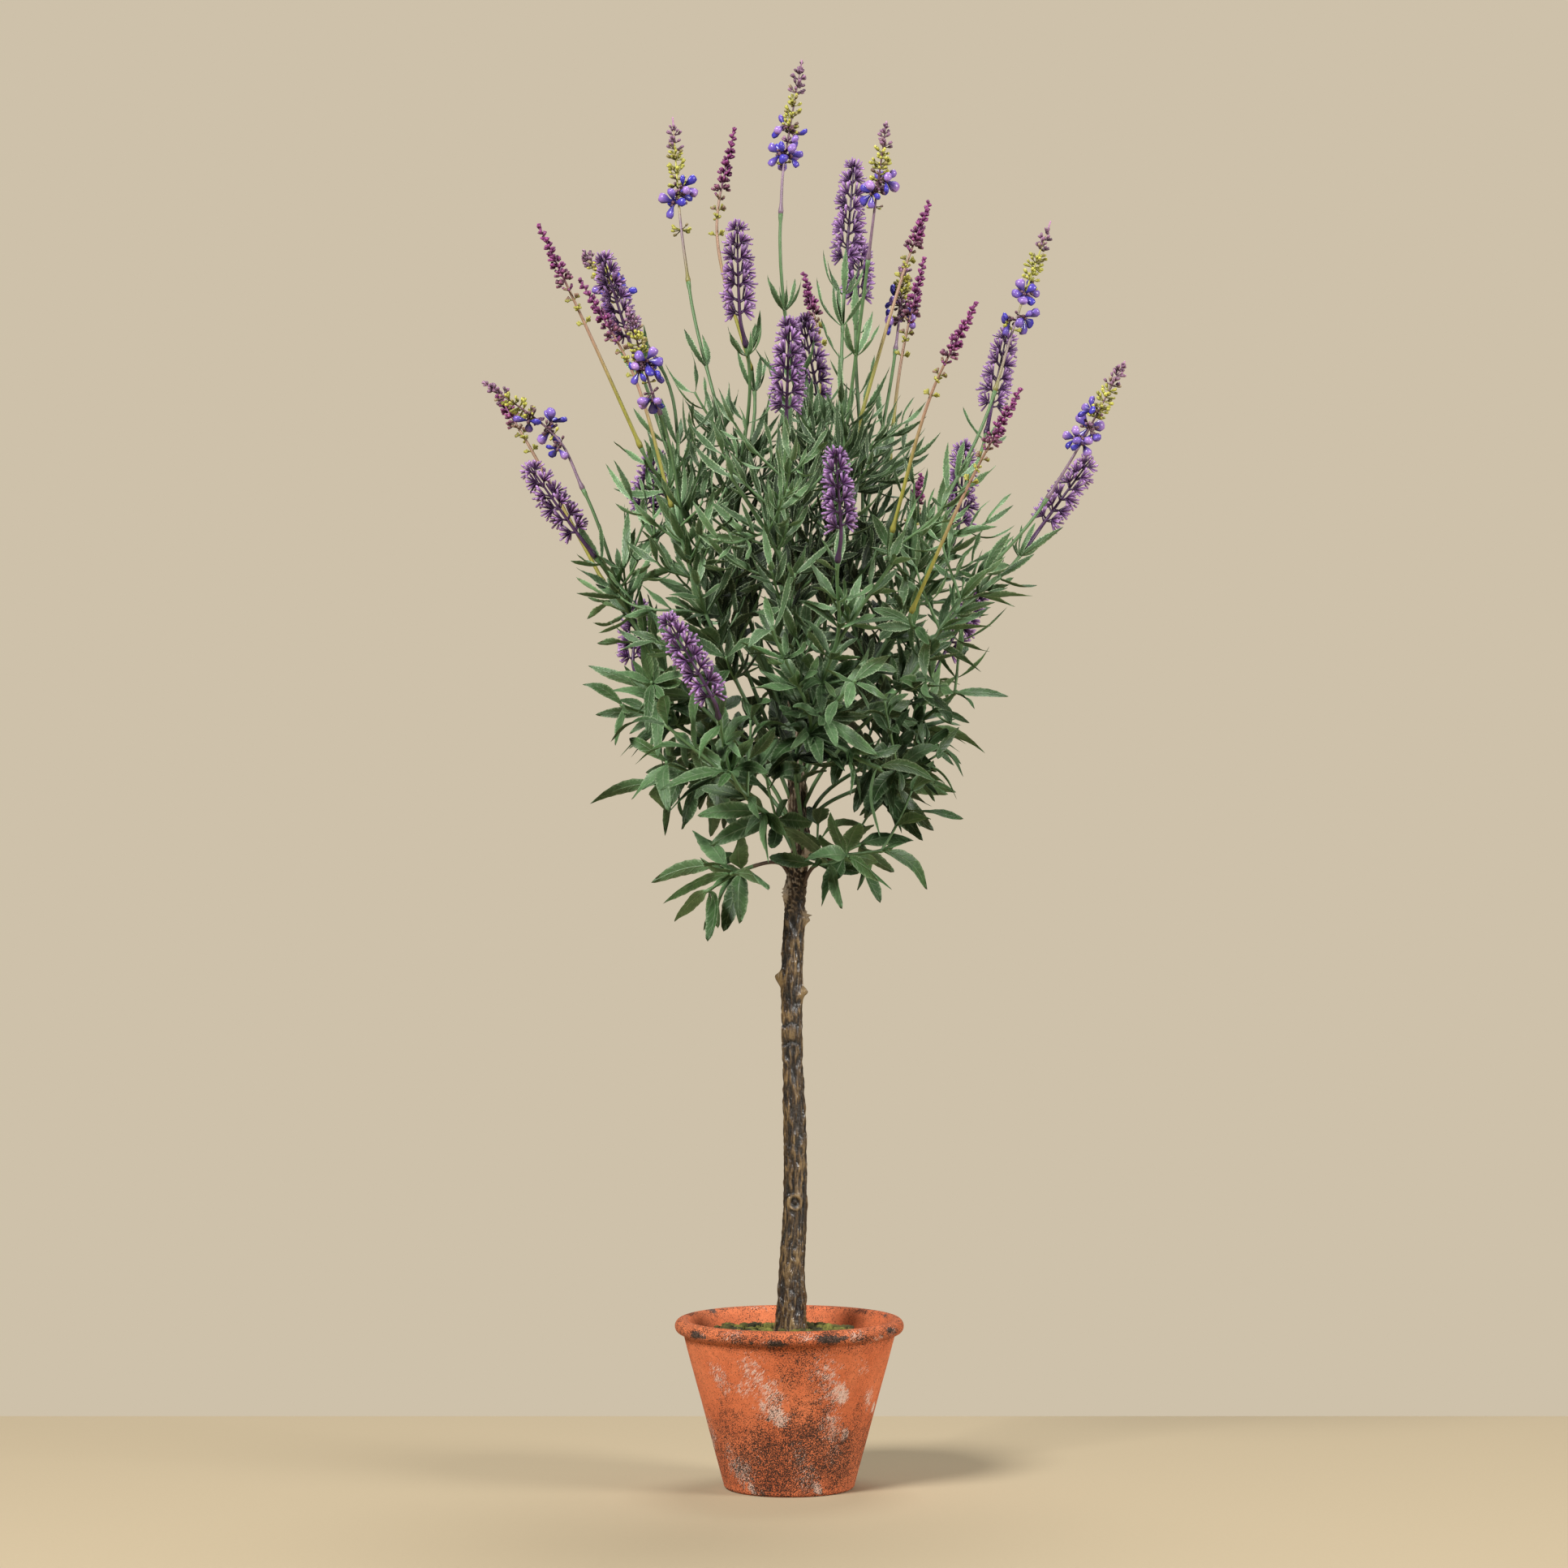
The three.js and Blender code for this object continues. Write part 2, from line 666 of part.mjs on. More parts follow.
// A pair place on a stem: narrow upright leaves high in the head, broad drooping ones low in it
function leafAt(stem, distance, side, sway, draw) {
  const { place, heading } = stem.route.at(distance);
  const broad = THREE.MathUtils.clamp((690 - place.z) / 170, 0, 1);
  const [across, front] = squareTo(heading);
  const turn = ((side + 0.5 + stem.turn) / STEM_SIDES) * 2 * Math.PI + sway;
  const out = across.multiplyScalar(Math.cos(turn)).addScaledVector(front, Math.sin(turn));
  const open = THREE.MathUtils.degToRad(mix(30, 56, broad) + draw(-8, 8));
  return {
    side,
    distance,
    base: place,
    along: heading.clone().multiplyScalar(Math.cos(open)).addScaledVector(out, Math.sin(open)),
    over: heading.clone().multiplyScalar(Math.sin(open)).addScaledVector(out, -Math.cos(open)),
    length: mix(34, 43, broad) * draw(0.85, 1.15),
    width: mix(7.5, 15, broad) * draw(0.88, 1.12),
    droop: mix(0.02, 0.3, broad) + draw(0, 0.1),
    fold: draw(0.1, 0.35),
    outline: broad > 0.4 ? BROAD : LANCE,
  };
}

const alongLeaf = ({ base, along, length, droop }, t) =>
  base.clone().addScaledVector(along, length * t).addScaledVector(UP, -droop * length * t * t);

// The skin of a leaf: toothed edges, and a rib raised on both faces alike
function leafGrowth(leaf, corners) {
  const across = new THREE.Vector3().crossVectors(leaf.over, leaf.along);
  const points = [...corners];
  const add = (t, sideways, lift) =>
    points.push(
      alongLeaf(leaf, t)
        .addScaledVector(across, sideways)
        .addScaledVector(leaf.over, lift + leaf.fold * Math.abs(sideways)),
    ) - 1;
  const tip = add(1, 0, 0);
  const edges = [1, -1].map((side) => [
    ...leaf.outline.edge.map(([t, w]) => ({ t, v: add(t, (side * w * leaf.width) / 2, 0) })),
    { t: 1, v: tip },
  ]);
  const ribs = [1, -1].map((face) => [
    ...leaf.outline.rib.map((t) => ({ t, v: add(t, 0, (face * RIB_THICKNESS) / 2) })),
    { t: 1, v: tip },
  ]);
  const [right, left] = edges.map((edge) => edge[0].v);
  const [top, bottom] = ribs.map((rib) => rib[0].v);
  const faces = [
    [0, bottom, left], [0, 1, bottom], [1, right, bottom], [1, 2, right],
    [2, top, right], [2, 3, top], [3, left, top], [3, 0, left],
  ];
  edges.forEach((edge, edgeNumber) =>
    ribs.forEach((rib, ribNumber) => {
      let i = 0;
      let j = 0;
      while (edge[i].v !== tip || rib[j].v !== tip) {
        const edgeNext = rib[j].v === tip || (edge[i].v !== tip && edge[i + 1].t <= rib[j + 1].t);
        const face = [edge[i].v, edgeNext ? edge[i + 1].v : rib[j + 1].v, rib[j].v];
        if (edgeNext) i++;
        else j++;
        if (edgeNumber === ribNumber) face.reverse();
        if (new Set(face).size === 3) faces.push(face);
      }
    }),
  );
  return { points: points.slice(4), faces };
}

// Room taken by every piece, as balls along it, so that no leaf grows through another piece
const claims = [];

const isFree = (owner, balls) =>
  balls.every(({ centre, radius, near }) =>
    claims.every(
      (other) =>
        (near && other.owner === owner) || centre.distanceTo(other.centre) > radius + other.radius,
    ),
  );

function leafBalls(leaf) {
  const widest = leaf.outline === BROAD ? 0.45 : 0.5;
  return range(8).map((i) => {
    const t = mix(0.16, 1, i / 7);
    const share = t < widest ? mix(0.3, 1, t / widest) : mix(1, 0.1, (t - widest) / (1 - widest));
    return { centre: alongLeaf(leaf, t), radius: (share * leaf.width) / 2 + 0.7, near: t < 0.41 };
  });
}

function leavesOn(stem, owner, draw) {
  const { route, bare, collar, leafless } = stem;
  const leaves = [];
  const keep = (distance, side) => {
    for (let attempt = 0; attempt < 8; attempt++) {
      const leaf = leafAt(stem, distance, side, draw(-0.25, 0.25) * (1 + attempt * 0.4), draw);
      const balls = leafBalls(leaf);
      if (!isFree(owner, balls)) continue;
      balls.forEach((ball) => claims.push({ ...ball, owner }));
      leaves.push(leaf);
      return;
    }
  };
  const stop = route.length - bare - (collar ? 7 : 3);
  for (let pair = 0; stop - pair * LEAF_SPACING > leafless; pair++) {
    keep(stop - pair * LEAF_SPACING, pair % 2);
    keep(stop - pair * LEAF_SPACING, (pair % 2) + 2);
  }
  return leaves;
}

// Flower spikes

// The route from the joint through the neck, where the florets begin, to the tip
function spikeRoute({ tip, neck, joint }) {
  const [end, middle, start] = [point(tip), point(neck), point(joint)];
  start.addScaledVector(middle.clone().sub(start).normalize(), JOINT_GAP / 2);
  const through = end.clone().sub(start).normalize();
  const bend = (a, b) => a.distanceTo(b) * 0.33;
  const straight = (a, b) => b.clone().sub(a).normalize();
  const route = new Route([
    [
      start,
      start.clone().addScaledVector(straight(start, middle), bend(start, middle)),
      middle.clone().addScaledVector(through, -bend(start, middle)),
      middle,
    ],
    [
      middle,
      middle.clone().addScaledVector(through, bend(middle, end)),
      end.clone().addScaledVector(straight(middle, end), -bend(middle, end)),
      end,
    ],
  ]);
  return { route, neckAt: route.reached[12] };
}

function spikeSolid(flower) {
  const { sides, rows, core, reach, lift } = SPIKES[flower.kind];
  const { route, neckAt } = spikeRoute(flower);
  const rowAt = (row) => mix(neckAt, route.length - 2, row / rows);
  const ring = (distance, radius, turn) => {
    const { place, heading } = route.at(distance);
    return ringAt(place, heading, radius, sides, turn);
  };
  const rings = [
    ring(0, 1.5, 0),
    ring(neckAt * 0.5, 1, 0),
    ...range(rows + 1).map((row) => ring(rowAt(row), core * mix(1, 0.35, row / rows), row * 0.35)),
    [route.at(route.length).place],
  ];
  return loft(rings, (row, side, corners) => {
    if (row < 2) return null;
    const { place, heading } = route.at(rowAt(row - 1.5));
    const centre = middleOf(corners);
    const out = centre.clone().sub(place).normalize();
    const open = flower.kind === "blossom" && (row === 2 || row === 4) && side < PETALS;
    if (open) {
      const tip = centre.addScaledVector(out, 13).addScaledVector(heading, side % 2 ? 3 : -5);
      return petal(corners, tip, 3.8);
    }
    const uneven = 0.85 + 0.08 * ((side * 7 + row * 3) % 5);
    const size = reach * mix(1, 0.45, ((row - 2) / rows) ** 2) * uneven;
    return floret(centre.addScaledVector(out, size).addScaledVector(heading, lift));
  });
}

// The whole plant

const group = new THREE.Group();

function addMesh(name, solid, colour, roughness) {
  const { vertProperties, triVerts } = solid.getMesh();
  const geometry = new THREE.BufferGeometry();
  geometry.setAttribute("position", new THREE.BufferAttribute(vertProperties, 3));
  geometry.setIndex(new THREE.BufferAttribute(triVerts, 1));
  geometry.computeVertexNormals();
  const material = new THREE.MeshStandardMaterial({ color: colour, roughness, metalness: 0 });
  const mesh = new THREE.Mesh(geometry, material);
  mesh.name = name;
  group.add(mesh);
}

function claimAlong(owner, route, from, to, radiusAt) {
  const count = Math.max(2, Math.ceil((to - from) / 4));
  range(count + 1).forEach((i) => {
    const centre = route.at(mix(from, to, i / count)).place;
    claims.push({ owner, centre, radius: radiusAt(i / count) });
  });
}

addMesh("pot", potSolid(), 0xd4633a, 0.85);
addMesh("ballast", ballastSolid(), 0xb9b4a8, 0.9);
addMesh("soil", soilSolid(), 0x2b2018, 1);
addMesh("moss", mossSolid(), 0x4d5f22, 1);
addMesh("trunk", trunkSolid(), 0x5a4334, 0.45);

for (let z = 380; z <= TRUNK.at(-1)[0]; z += 5) {
  const { x, radius } = trunkAt(z);
  claims.push({ owner: "trunk", centre: point([x, 0, z]), radius: radius + 1 });
}

const stemsBySpray = SPRAYS.map((spray, index) => stemsOf(spray, drawsFrom(40 + index)));
stemsBySpray.forEach((stems, index) =>
  stems.forEach(({ route }) =>
    claimAlong(SPRAYS[index].name, route, 0, route.length, () => STEM_RADIUS + 0.5),
  ),
);

const spikeCounts = { blossom: 0, bead: 0, comb: 0 };
for (const flower of SPRAYS.flatMap((spray) => spray.flowers)) {
  const name = `${flower.kind}_spike_${++spikeCounts[flower.kind]}`;
  const { reach, colour, rough } = SPIKES[flower.kind];
  const { route, neckAt } = spikeRoute(flower);
  const spread = flower.kind === "blossom" ? 13 : reach + 1;
  claimAlong(name, route, 0, neckAt, () => 2);
  claimAlong(name, route, neckAt, route.length, (share) => spread * mix(1, 0.4, share));
  addMesh(name, spikeSolid(flower), colour, rough);
}

SPRAYS.forEach((spray, index) => {
  const draw = drawsFrom(100 + index);
  const solids = stemsBySpray[index].map((stem) =>
    stemSolid(stem, leavesOn(stem, spray.name, draw)),
  );
  addMesh(spray.name, joined(solids), 0x4a7050, 0.6);
});

export default group;
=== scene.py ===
"""The looks of an artificial lavender standard in a terracotta pot, built round its packed solids.

Lengths are millimetres until a mesh is written. The trunk stands on +Z, seen along +Y.
"""

import functools
import math

import bmesh
import bpy
import numpy as np
from bpy.props import FloatProperty, FloatVectorProperty, IntProperty, PointerProperty
from mathutils import Euler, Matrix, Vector, noise


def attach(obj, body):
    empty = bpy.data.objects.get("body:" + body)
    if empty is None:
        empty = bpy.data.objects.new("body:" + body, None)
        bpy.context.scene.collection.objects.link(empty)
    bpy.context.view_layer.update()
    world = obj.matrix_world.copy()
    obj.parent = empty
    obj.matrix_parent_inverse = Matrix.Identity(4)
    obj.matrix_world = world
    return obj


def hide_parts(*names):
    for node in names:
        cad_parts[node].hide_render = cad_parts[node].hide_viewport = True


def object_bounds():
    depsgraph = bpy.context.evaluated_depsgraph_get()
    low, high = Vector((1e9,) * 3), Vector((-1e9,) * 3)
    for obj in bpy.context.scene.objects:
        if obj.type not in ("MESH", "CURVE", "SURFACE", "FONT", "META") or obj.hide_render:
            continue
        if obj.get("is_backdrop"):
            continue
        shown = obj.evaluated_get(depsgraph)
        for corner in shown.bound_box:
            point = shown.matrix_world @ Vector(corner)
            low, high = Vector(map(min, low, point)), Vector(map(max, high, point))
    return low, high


bl_info = {
    "name": "Lavender standard",
    "version": (1, 0, 0),
    "blender": (4, 5, 0),
    "location": "3D View > Sidebar > Lavender",
    "description": "Builds an artificial lavender tree round its packed solids",
    "category": "Object",
}

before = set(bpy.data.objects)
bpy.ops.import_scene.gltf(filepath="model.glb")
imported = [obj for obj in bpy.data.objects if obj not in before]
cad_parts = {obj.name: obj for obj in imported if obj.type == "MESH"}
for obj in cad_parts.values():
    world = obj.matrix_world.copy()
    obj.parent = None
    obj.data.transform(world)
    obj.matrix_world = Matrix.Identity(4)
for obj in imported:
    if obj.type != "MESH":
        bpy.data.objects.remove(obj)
CAD_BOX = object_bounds()
MM = 0.001

# Pot and filling, as in the solids
RIM_RADIUS = 80
BASE_RADIUS = 46
BODY_TOP_RADIUS = 73.7
BODY_TOP = 104
BORE_RADIUS = 69
FLOOR_THICKNESS = 8
FLOOR_RADIUS = 39
DRAIN_RADIUS = 7
CLEARANCE = 0.4
BALLAST_TOP = 92
SOIL_TOP = 102

# Trunk: height, sideways offset and diameter
TRUNK = np.array([
    (20.4, 0, 23.6), (105, 0.4, 23.6), (124, 1.2, 20.8), (154, 2, 17.4), (194, 4.2, 16.2),
    (240, 4.1, 15.6), (298, 2.3, 14.1), (359, 1.4, 14.7), (408, 4.1, 14.1), (433, 5.7, 14.7),
    (450, 9, 12.4), (470, 5.4, 12.7), (493, 5, 12), (520, 4, 10.4), (556, 4, 8.6),
])
TRUNK_SIDES = 8
FLUTE_DEPTH = 0.05

# Stems, as in the solids
STEM_RADIUS = 1.45
FOOT_RADIUS = 1.65
BRANCH_SPACING = 9
JOINT_GAP = 0.3
STEM_SIDES = 4
LEAF_SPACING = 50
BARE_BELOW_COLLAR = {"blossom": 62, "bead": 10, "comb": 1}

# Leaves, as in the solids, from the narrow ones high in the head to the broad ones low down
NARROW_ABOVE = 690
BROAD_BELOW = 520
LEAF_ANGLE = (30, 56)
LEAF_LENGTH = (34, 43)
LEAF_WIDTH = (7.5, 15)
LEAF_DROOP = (0.02, 0.3)

# Sprays: name, height on the trunk, fork, flower spikes as kind, tip, neck and joint, and shoots
SPRAYS = [
    ("lavender_spray_1", 470, (-106, 13, 598), [
        ("blossom", (-217, 39, 774), (-164, 32, 734), (-145, 26, 697)),
        ("bead", (-213, 98, 776), (-184, 81, 728), (-132, 65, 633)),
        ("comb", (-180, -26, 710), (-146, -21, 662), (-135, -16, 648)),
    ], []),
    ("lavender_spray_2", 500, (-70, 20, 675), [
        ("blossom", (-148, 78, 872), (-120, 68, 833), (-93, 58, 789)),
        ("bead", (-172, -39, 873), (-141, -32, 807), (-103, -26, 723)),
        ("comb", (-131, 13, 860), (-112, 16, 800), (-106, 20, 784)),
    ], []),
    ("lavender_spray_3", 485, (-62, -32, 619), [
        ("blossom", (-110, -78, 814), (-95, -70, 761), (-88, -62, 742)),
        ("bead", (-144, -29, 837), (-107, -34, 771), (-81, -39, 681)),
        ("comb", (-95, 58, 722), (-102, 49, 684), (-97, 39, 668)),
    ], []),
    ("lavender_spray_4", 530, (-38, 26, 670), [
        ("blossom", (-84, 104, 971), (-78, 88, 894), (-72, 72, 848)),
        ("bead", (-39, 52, 953), (-51, 44, 877), (-27, 36, 782)),
        ("comb", (-36, -39, 875), (-34, -31, 811), (-30, -23, 793)),
    ], []),
    ("lavender_spray_5", 540, (7, 20, 686), [
        ("blossom", (9, 26, 999), (-4, 23, 922), (-6, 20, 890)),
        ("bead", (11, 117, 858), (22, 98, 805), (23, 78, 760)),
        ("comb", (9, 46, 820), (20, 39, 761), (17, 32, 745)),
    ], []),
    ("lavender_spray_6", 530, (30, -6, 668), [
        ("blossom", (66, -78, 940), (58, -65, 881), (54, -52, 849)),
        ("bead", (97, 0, 894), (78, -3, 841), (46, -6, 732)),
        ("comb", (46, 46, 930), (40, 39, 857), (39, 32, 841)),
    ], []),
    ("lavender_spray_7", 520, (51, 65, 661), [
        ("blossom", (85, 156, 872), (80, 136, 827), (77, 117, 804)),
        ("bead", (96, 65, 863), (80, 60, 793), (71, 55, 720)),
        ("comb", (51, 117, 881), (49, 105, 839), (48, 94, 821)),
    ], []),
    ("lavender_spray_8", 500, (83, -13, 625), [
        ("blossom", (184, 26, 886), (159, 20, 815), (144, 13, 765)),
        ("bead", (125, -110, 812), (95, -91, 751), (70, -72, 662)),
        ("comb", (156, 84, 813), (144, 72, 757), (140, 58, 739)),
    ], []),
    ("lavender_spray_9", 478, (99, -39, 588), [
        ("blossom", (231, -39, 781), (200, -34, 723), (178, -29, 687)),
        ("bead", (154, -124, 753), (121, -101, 692), (83, -78, 607)),
        ("comb", (212, 32, 718), (178, 23, 672), (165, 13, 654)),
    ], []),
    ("lavender_spray_10", 490, (78, 84, 604), [
        ("bead", (97, 162, 715), (89, 146, 680), (85, 130, 662)),
        ("comb", (125, 84, 734), (121, 78, 674), (116, 72, 661)),
    ], []),
    ("lavender_spray_11", 495, (30, -98, 580), [
        ("comb", (30, -169, 709), (34, -157, 656), (32, -146, 638)),
    ], [(69, -124, 638)]),
    ("lavender_spray_12", 515, (-6, -58, 642), [
        ("comb", (0, -104, 802), (-2, -96, 740), (-2, -88, 728)),
    ], [(-40, -98, 698)]),
    ("lavender_spray_13", 440, (-32, -98, 485), [
        ("comb", (-81, -182, 599), (-50, -168, 545), (-47, -153, 534)),
    ], [(-84, -110, 530)]),
    ("lavender_spray_14", 455, (-76, 52, 530), [
        ("comb", (-108, 98, 619), (-112, 88, 578), (-108, 78, 564)),
    ], [(-118, 13, 545), (-95, -32, 560)]),
    ("lavender_spray_15", 462, (76, 65, 519), [
        ("comb", (138, 124, 627), (112, 110, 584), (105, 98, 570)),
    ], [(118, 26, 555), (101, 117, 530)]),
    ("leafy_spray_1", 430, (-30, -16, 431), [
    ], [(-58, -26, 415), (-40, -52, 428), (-52, 18, 432)]),
    ("leafy_spray_2", 424, (28, -18, 438), [
    ], [(66, -32, 444), (50, 6, 448), (40, -65, 440)]),
    ("leafy_spray_3", 450, (10, -62, 520), [
    ], [(-12, -130, 594), (44, -130, 559), (62, -91, 500)]),
    ("leafy_spray_4", 446, (-50, 23, 490), [
    ], [(-86, -6, 505), (-60, 78, 515), (-95, 58, 490)]),
    ("leafy_spray_5", 462, (52, 13, 488), [
    ], [(96, 20, 515), (75, -52, 500), (80, 78, 490)]),
    ("leafy_spray_6", 470, (-5, 78, 540), [
    ], [(-50, 130, 611), (10, 150, 642), (45, 136, 571)]),
]

UP = np.array([0.0, 0.0, 1.0])


def mix(a, b, share):
    return a + (b - a) * share


def unit(vector):
    return vector / np.linalg.norm(vector)


def turn_from(start, angle):
    """The turn from one angle to another, by the short way."""
    return (angle - start + math.pi) % math.tau - math.pi


def draws_from(seed):
    """Random draws that come out the same on every run."""
    state = seed

    def draw(low, high):
        nonlocal state
        state = (state * 1664525 + 1013904223) & 0xFFFFFFFF
        return mix(low, high, state / 4294967296)

    return draw


def seeded(groups, seed):
    """Numbers the groups, and gives each its own draws."""
    return [(number, group, draws_from(seed + number)) for number, group in enumerate(groups)]


def linear(code):
    """The linear colour of an sRGB hex value."""
    channels = [int(code[i : i + 2], 16) / 255 for i in (1, 3, 5)]
    return tuple(c / 12.92 if c <= 0.04045 else ((c + 0.055) / 1.055) ** 2.4 for c in channels)


def colours_of(look, *names):
    return [np.array(getattr(look, name)) for name in names]


def fade(colour, *tones):
    """Tones of a colour, evenly spaced from the foot of a skin to its tip."""
    return [(share, colour * tone) for share, tone in zip(np.linspace(0, 1, len(tones)), tones)]


# Routes

CURVE_STEPS = 12


def square_to(heading):
    """Two directions square to a given one and to each other."""
    across = unit(np.cross(heading, (0, 1, 0)))
    return across, unit(np.cross(heading, across))


def squares_to(headings):
    """Two directions square to each of several headings."""
    across = np.cross(headings, (0, 1, 0))
    across /= np.linalg.norm(across, axis=-1, keepdims=True)
    return across, np.cross(headings, across)


class Route:
    """A route through cubic curves, each given by four points, measured by its length."""

    def __init__(self, *curves):
        self.points = []
        for number, (a, b, c, d) in enumerate(curves):
            for step in range(1 if number else 0, CURVE_STEPS + 1):
                t = step / CURVE_STEPS
                s = 1 - t
                self.points.append(a * s**3 + b * 3 * s * s * t + c * 3 * s * t * t + d * t**3)
        self.points = np.array(self.points)
        gaps = np.linalg.norm(np.diff(self.points, axis=0), axis=1)
        self.reached = np.concatenate([[0], np.cumsum(gaps)])
        self.length = self.reached[-1]
        ends = np.concatenate([self.points[:1], self.points, self.points[-1:]])
        steps_on = ends[2:] - ends[:-2]
        self.headings = steps_on / np.linalg.norm(steps_on, axis=1, keepdims=True)

    def at(self, distance):
        """The place and the heading at a distance from the start, or at several."""
        place, heading = (
            np.stack([np.interp(distance, self.reached, rows[:, k]) for k in range(3)], axis=-1)
            for rows in (self.points, self.headings)
        )
        heading = heading / np.linalg.norm(heading, axis=-1, keepdims=True)
        before = np.minimum(distance, 0) if np.ndim(distance) else min(distance, 0)
        return place + heading * np.expand_dims(before, -1), heading


def curve(start, leaving, end, arriving, pull=0.35):
    """Four points of a cubic curve that leaves and arrives in given directions."""
    reach = np.linalg.norm(start - end) * pull
    return start, start + leaving * reach, end - arriving * reach, end


def trunk_at(z):
    """The trunk's sideways offset and radius at a height."""
    return np.interp(z, TRUNK[:, 0], TRUNK[:, 1]), np.interp(z, TRUNK[:, 0], TRUNK[:, 2]) / 2


def bark_at(z, angle):
    """Distance from the trunk's axis to the fluted surface of its solid."""
    sector = math.tau / TRUNK_SIDES
    turn = (angle + math.tau) % math.tau
    corner = math.floor(turn / sector)
    here, there = (
        trunk_at(z)[1] * (1 - FLUTE_DEPTH if i % 2 else 1) for i in (corner, corner + 1)
    )
    past = turn - corner * sector
    chord = here * math.sin(past) + there * math.sin(sector - past)
    return here * there * math.sin(sector) / chord


class Stem:
    """A leafy stem: its route, the stretch that bears leaves, and the leaves."""

    def __init__(self, route, turn, leafless=0.0, bare=0, collar=False, radii=(1.4, 1.1)):
        self.route, self.turn, self.leafless = route, turn, leafless
        self.collar, self.radii = collar, radii
        self.stop = route.length - bare - (7 if collar else 3)
        self.leaves = []

    def grow(self, leaf, owner, room, slack=1.0):
        """Adds a leaf if there is room for it."""
        balls, near = leaf.balls()
        free = room.is_free(owner, balls, near, slack)
        if free:
            room.claim(owner, balls)
            self.leaves.append(leaf)
        return free


def ends_of(fork, flowers, shoots):
    """Where each stem of a spray ends, its heading there and how it is finished."""
    ends = []
    for kind, _, neck, joint in flowers:
        heading = unit(np.array(neck) - joint)
        end = np.array(joint) - heading * JOINT_GAP / 2
        ends.append((end, heading, {"bare": BARE_BELOW_COLLAR[kind], "collar": True}))
    for shoot in shoots:
        end = np.array(shoot, float)
        ends.append((end, unit(end - fork), {}))
    return ends


def stems_of(root, fork, flowers, shoots, draw):
    """An axis from the trunk through the fork to its first end, and a branch to every other."""
    fork = np.array(fork, float)
    first, *others = ends_of(fork, flowers, shoots)
    turn = draw(0, 1)
    x, _ = trunk_at(root)
    outward = unit(np.array([fork[0] - x, fork[1], 0]))
    climb = unit(UP * 0.8 + outward * 0.35)
    across, over = square_to(climb)
    angles = [(i + turn) / STEM_SIDES * math.tau for i in range(STEM_SIDES)]
    corners = [FOOT_RADIUS * (across * math.cos(a) + over * math.sin(a)) for a in angles]
    inward = max(-corner @ outward for corner in corners)
    bark = bark_at(root, math.atan2(outward[1], outward[0]))
    foot = np.array([x, 0, root]) + outward * (bark + inward + JOINT_GAP)
    lean = unit(sum(unit(end - fork) for end, _, _ in [first, *others]))
    axis = Route(curve(foot, climb, fork, lean), curve(fork, lean, first[0], first[1]))
    fork_at = axis.reached[CURVE_STEPS]
    branches = []
    for i, (end, heading, about) in enumerate(others):
        knee = fork_at + (i - (len(others) - 1) / 2) * BRANCH_SPACING
        place, onward = axis.at(knee)
        leaving = unit(mix(unit(end - place), onward, 0.45))
        route = Route(curve(place, leaving, end, heading))
        branches.append(Stem(route, draw(0, 1), leafless=12, **about))
    return [Stem(axis, turn, leafless=fork_at * 0.6, **first[2]), *branches]


def spike_route(tip, neck, joint):
    """The route from the joint to the tip, and how far along it the florets begin."""
    end, middle, start = (np.array(p, float) for p in (tip, neck, joint))
    start = start + unit(middle - start) * JOINT_GAP / 2
    through = unit(end - start)
    route = Route(
        curve(start, unit(middle - start), middle, through, 0.33),
        curve(middle, through, end, unit(end - middle), 0.33),
    )
    return route, route.reached[CURVE_STEPS]


# Leaves and the room they need


class Leaf:
    """Where a leaf grows, how it lies and how large it is."""

    def __init__(self, stem, distance, side, sway, draw, size=1.0, rise=0.0):
        self.side, self.distance = side, distance
        self.base, heading = stem.route.at(distance)
        broad = (NARROW_ABOVE - self.base[2]) / (NARROW_ABOVE - BROAD_BELOW)
        self.broad = min(1, max(0, broad))
        across, front = square_to(heading)
        turn = (side + 0.5 + stem.turn) / STEM_SIDES * math.tau + sway
        out = across * math.cos(turn) + front * math.sin(turn)
        spread = math.radians(mix(*LEAF_ANGLE, self.broad) + draw(-8, 8))
        self.along = heading * math.cos(spread) + out * math.sin(spread)
        self.over = heading * math.sin(spread) - out * math.cos(spread)
        self.length = mix(*LEAF_LENGTH, self.broad) * draw(0.85, 1.15) * size
        self.width = mix(*LEAF_WIDTH, self.broad) * draw(0.88, 1.12) * size
        self.droop = mix(*LEAF_DROOP, self.broad) + draw(0, 0.1) - rise
        self.fold = draw(0.1, 0.35)

    def spine(self, t):
        """Places along the middle of the blade."""
        t = np.asarray(t)[..., None]
        return self.base + self.along * self.length * t - UP * self.droop * self.length * t * t

    def balls(self):
        """The room that the blade takes, and which balls are close to its own stem."""
        t = mix(0.16, 1, np.arange(8) / 7)
        widest = 0.45 if self.broad > 0.4 else 0.5
        share = np.where(
            t < widest, mix(0.3, 1, t / widest), mix(1, 0.1, (t - widest) / (1 - widest))
        )
        return np.column_stack([self.spine(t), share * self.width / 2 + 0.7]), t < 0.41


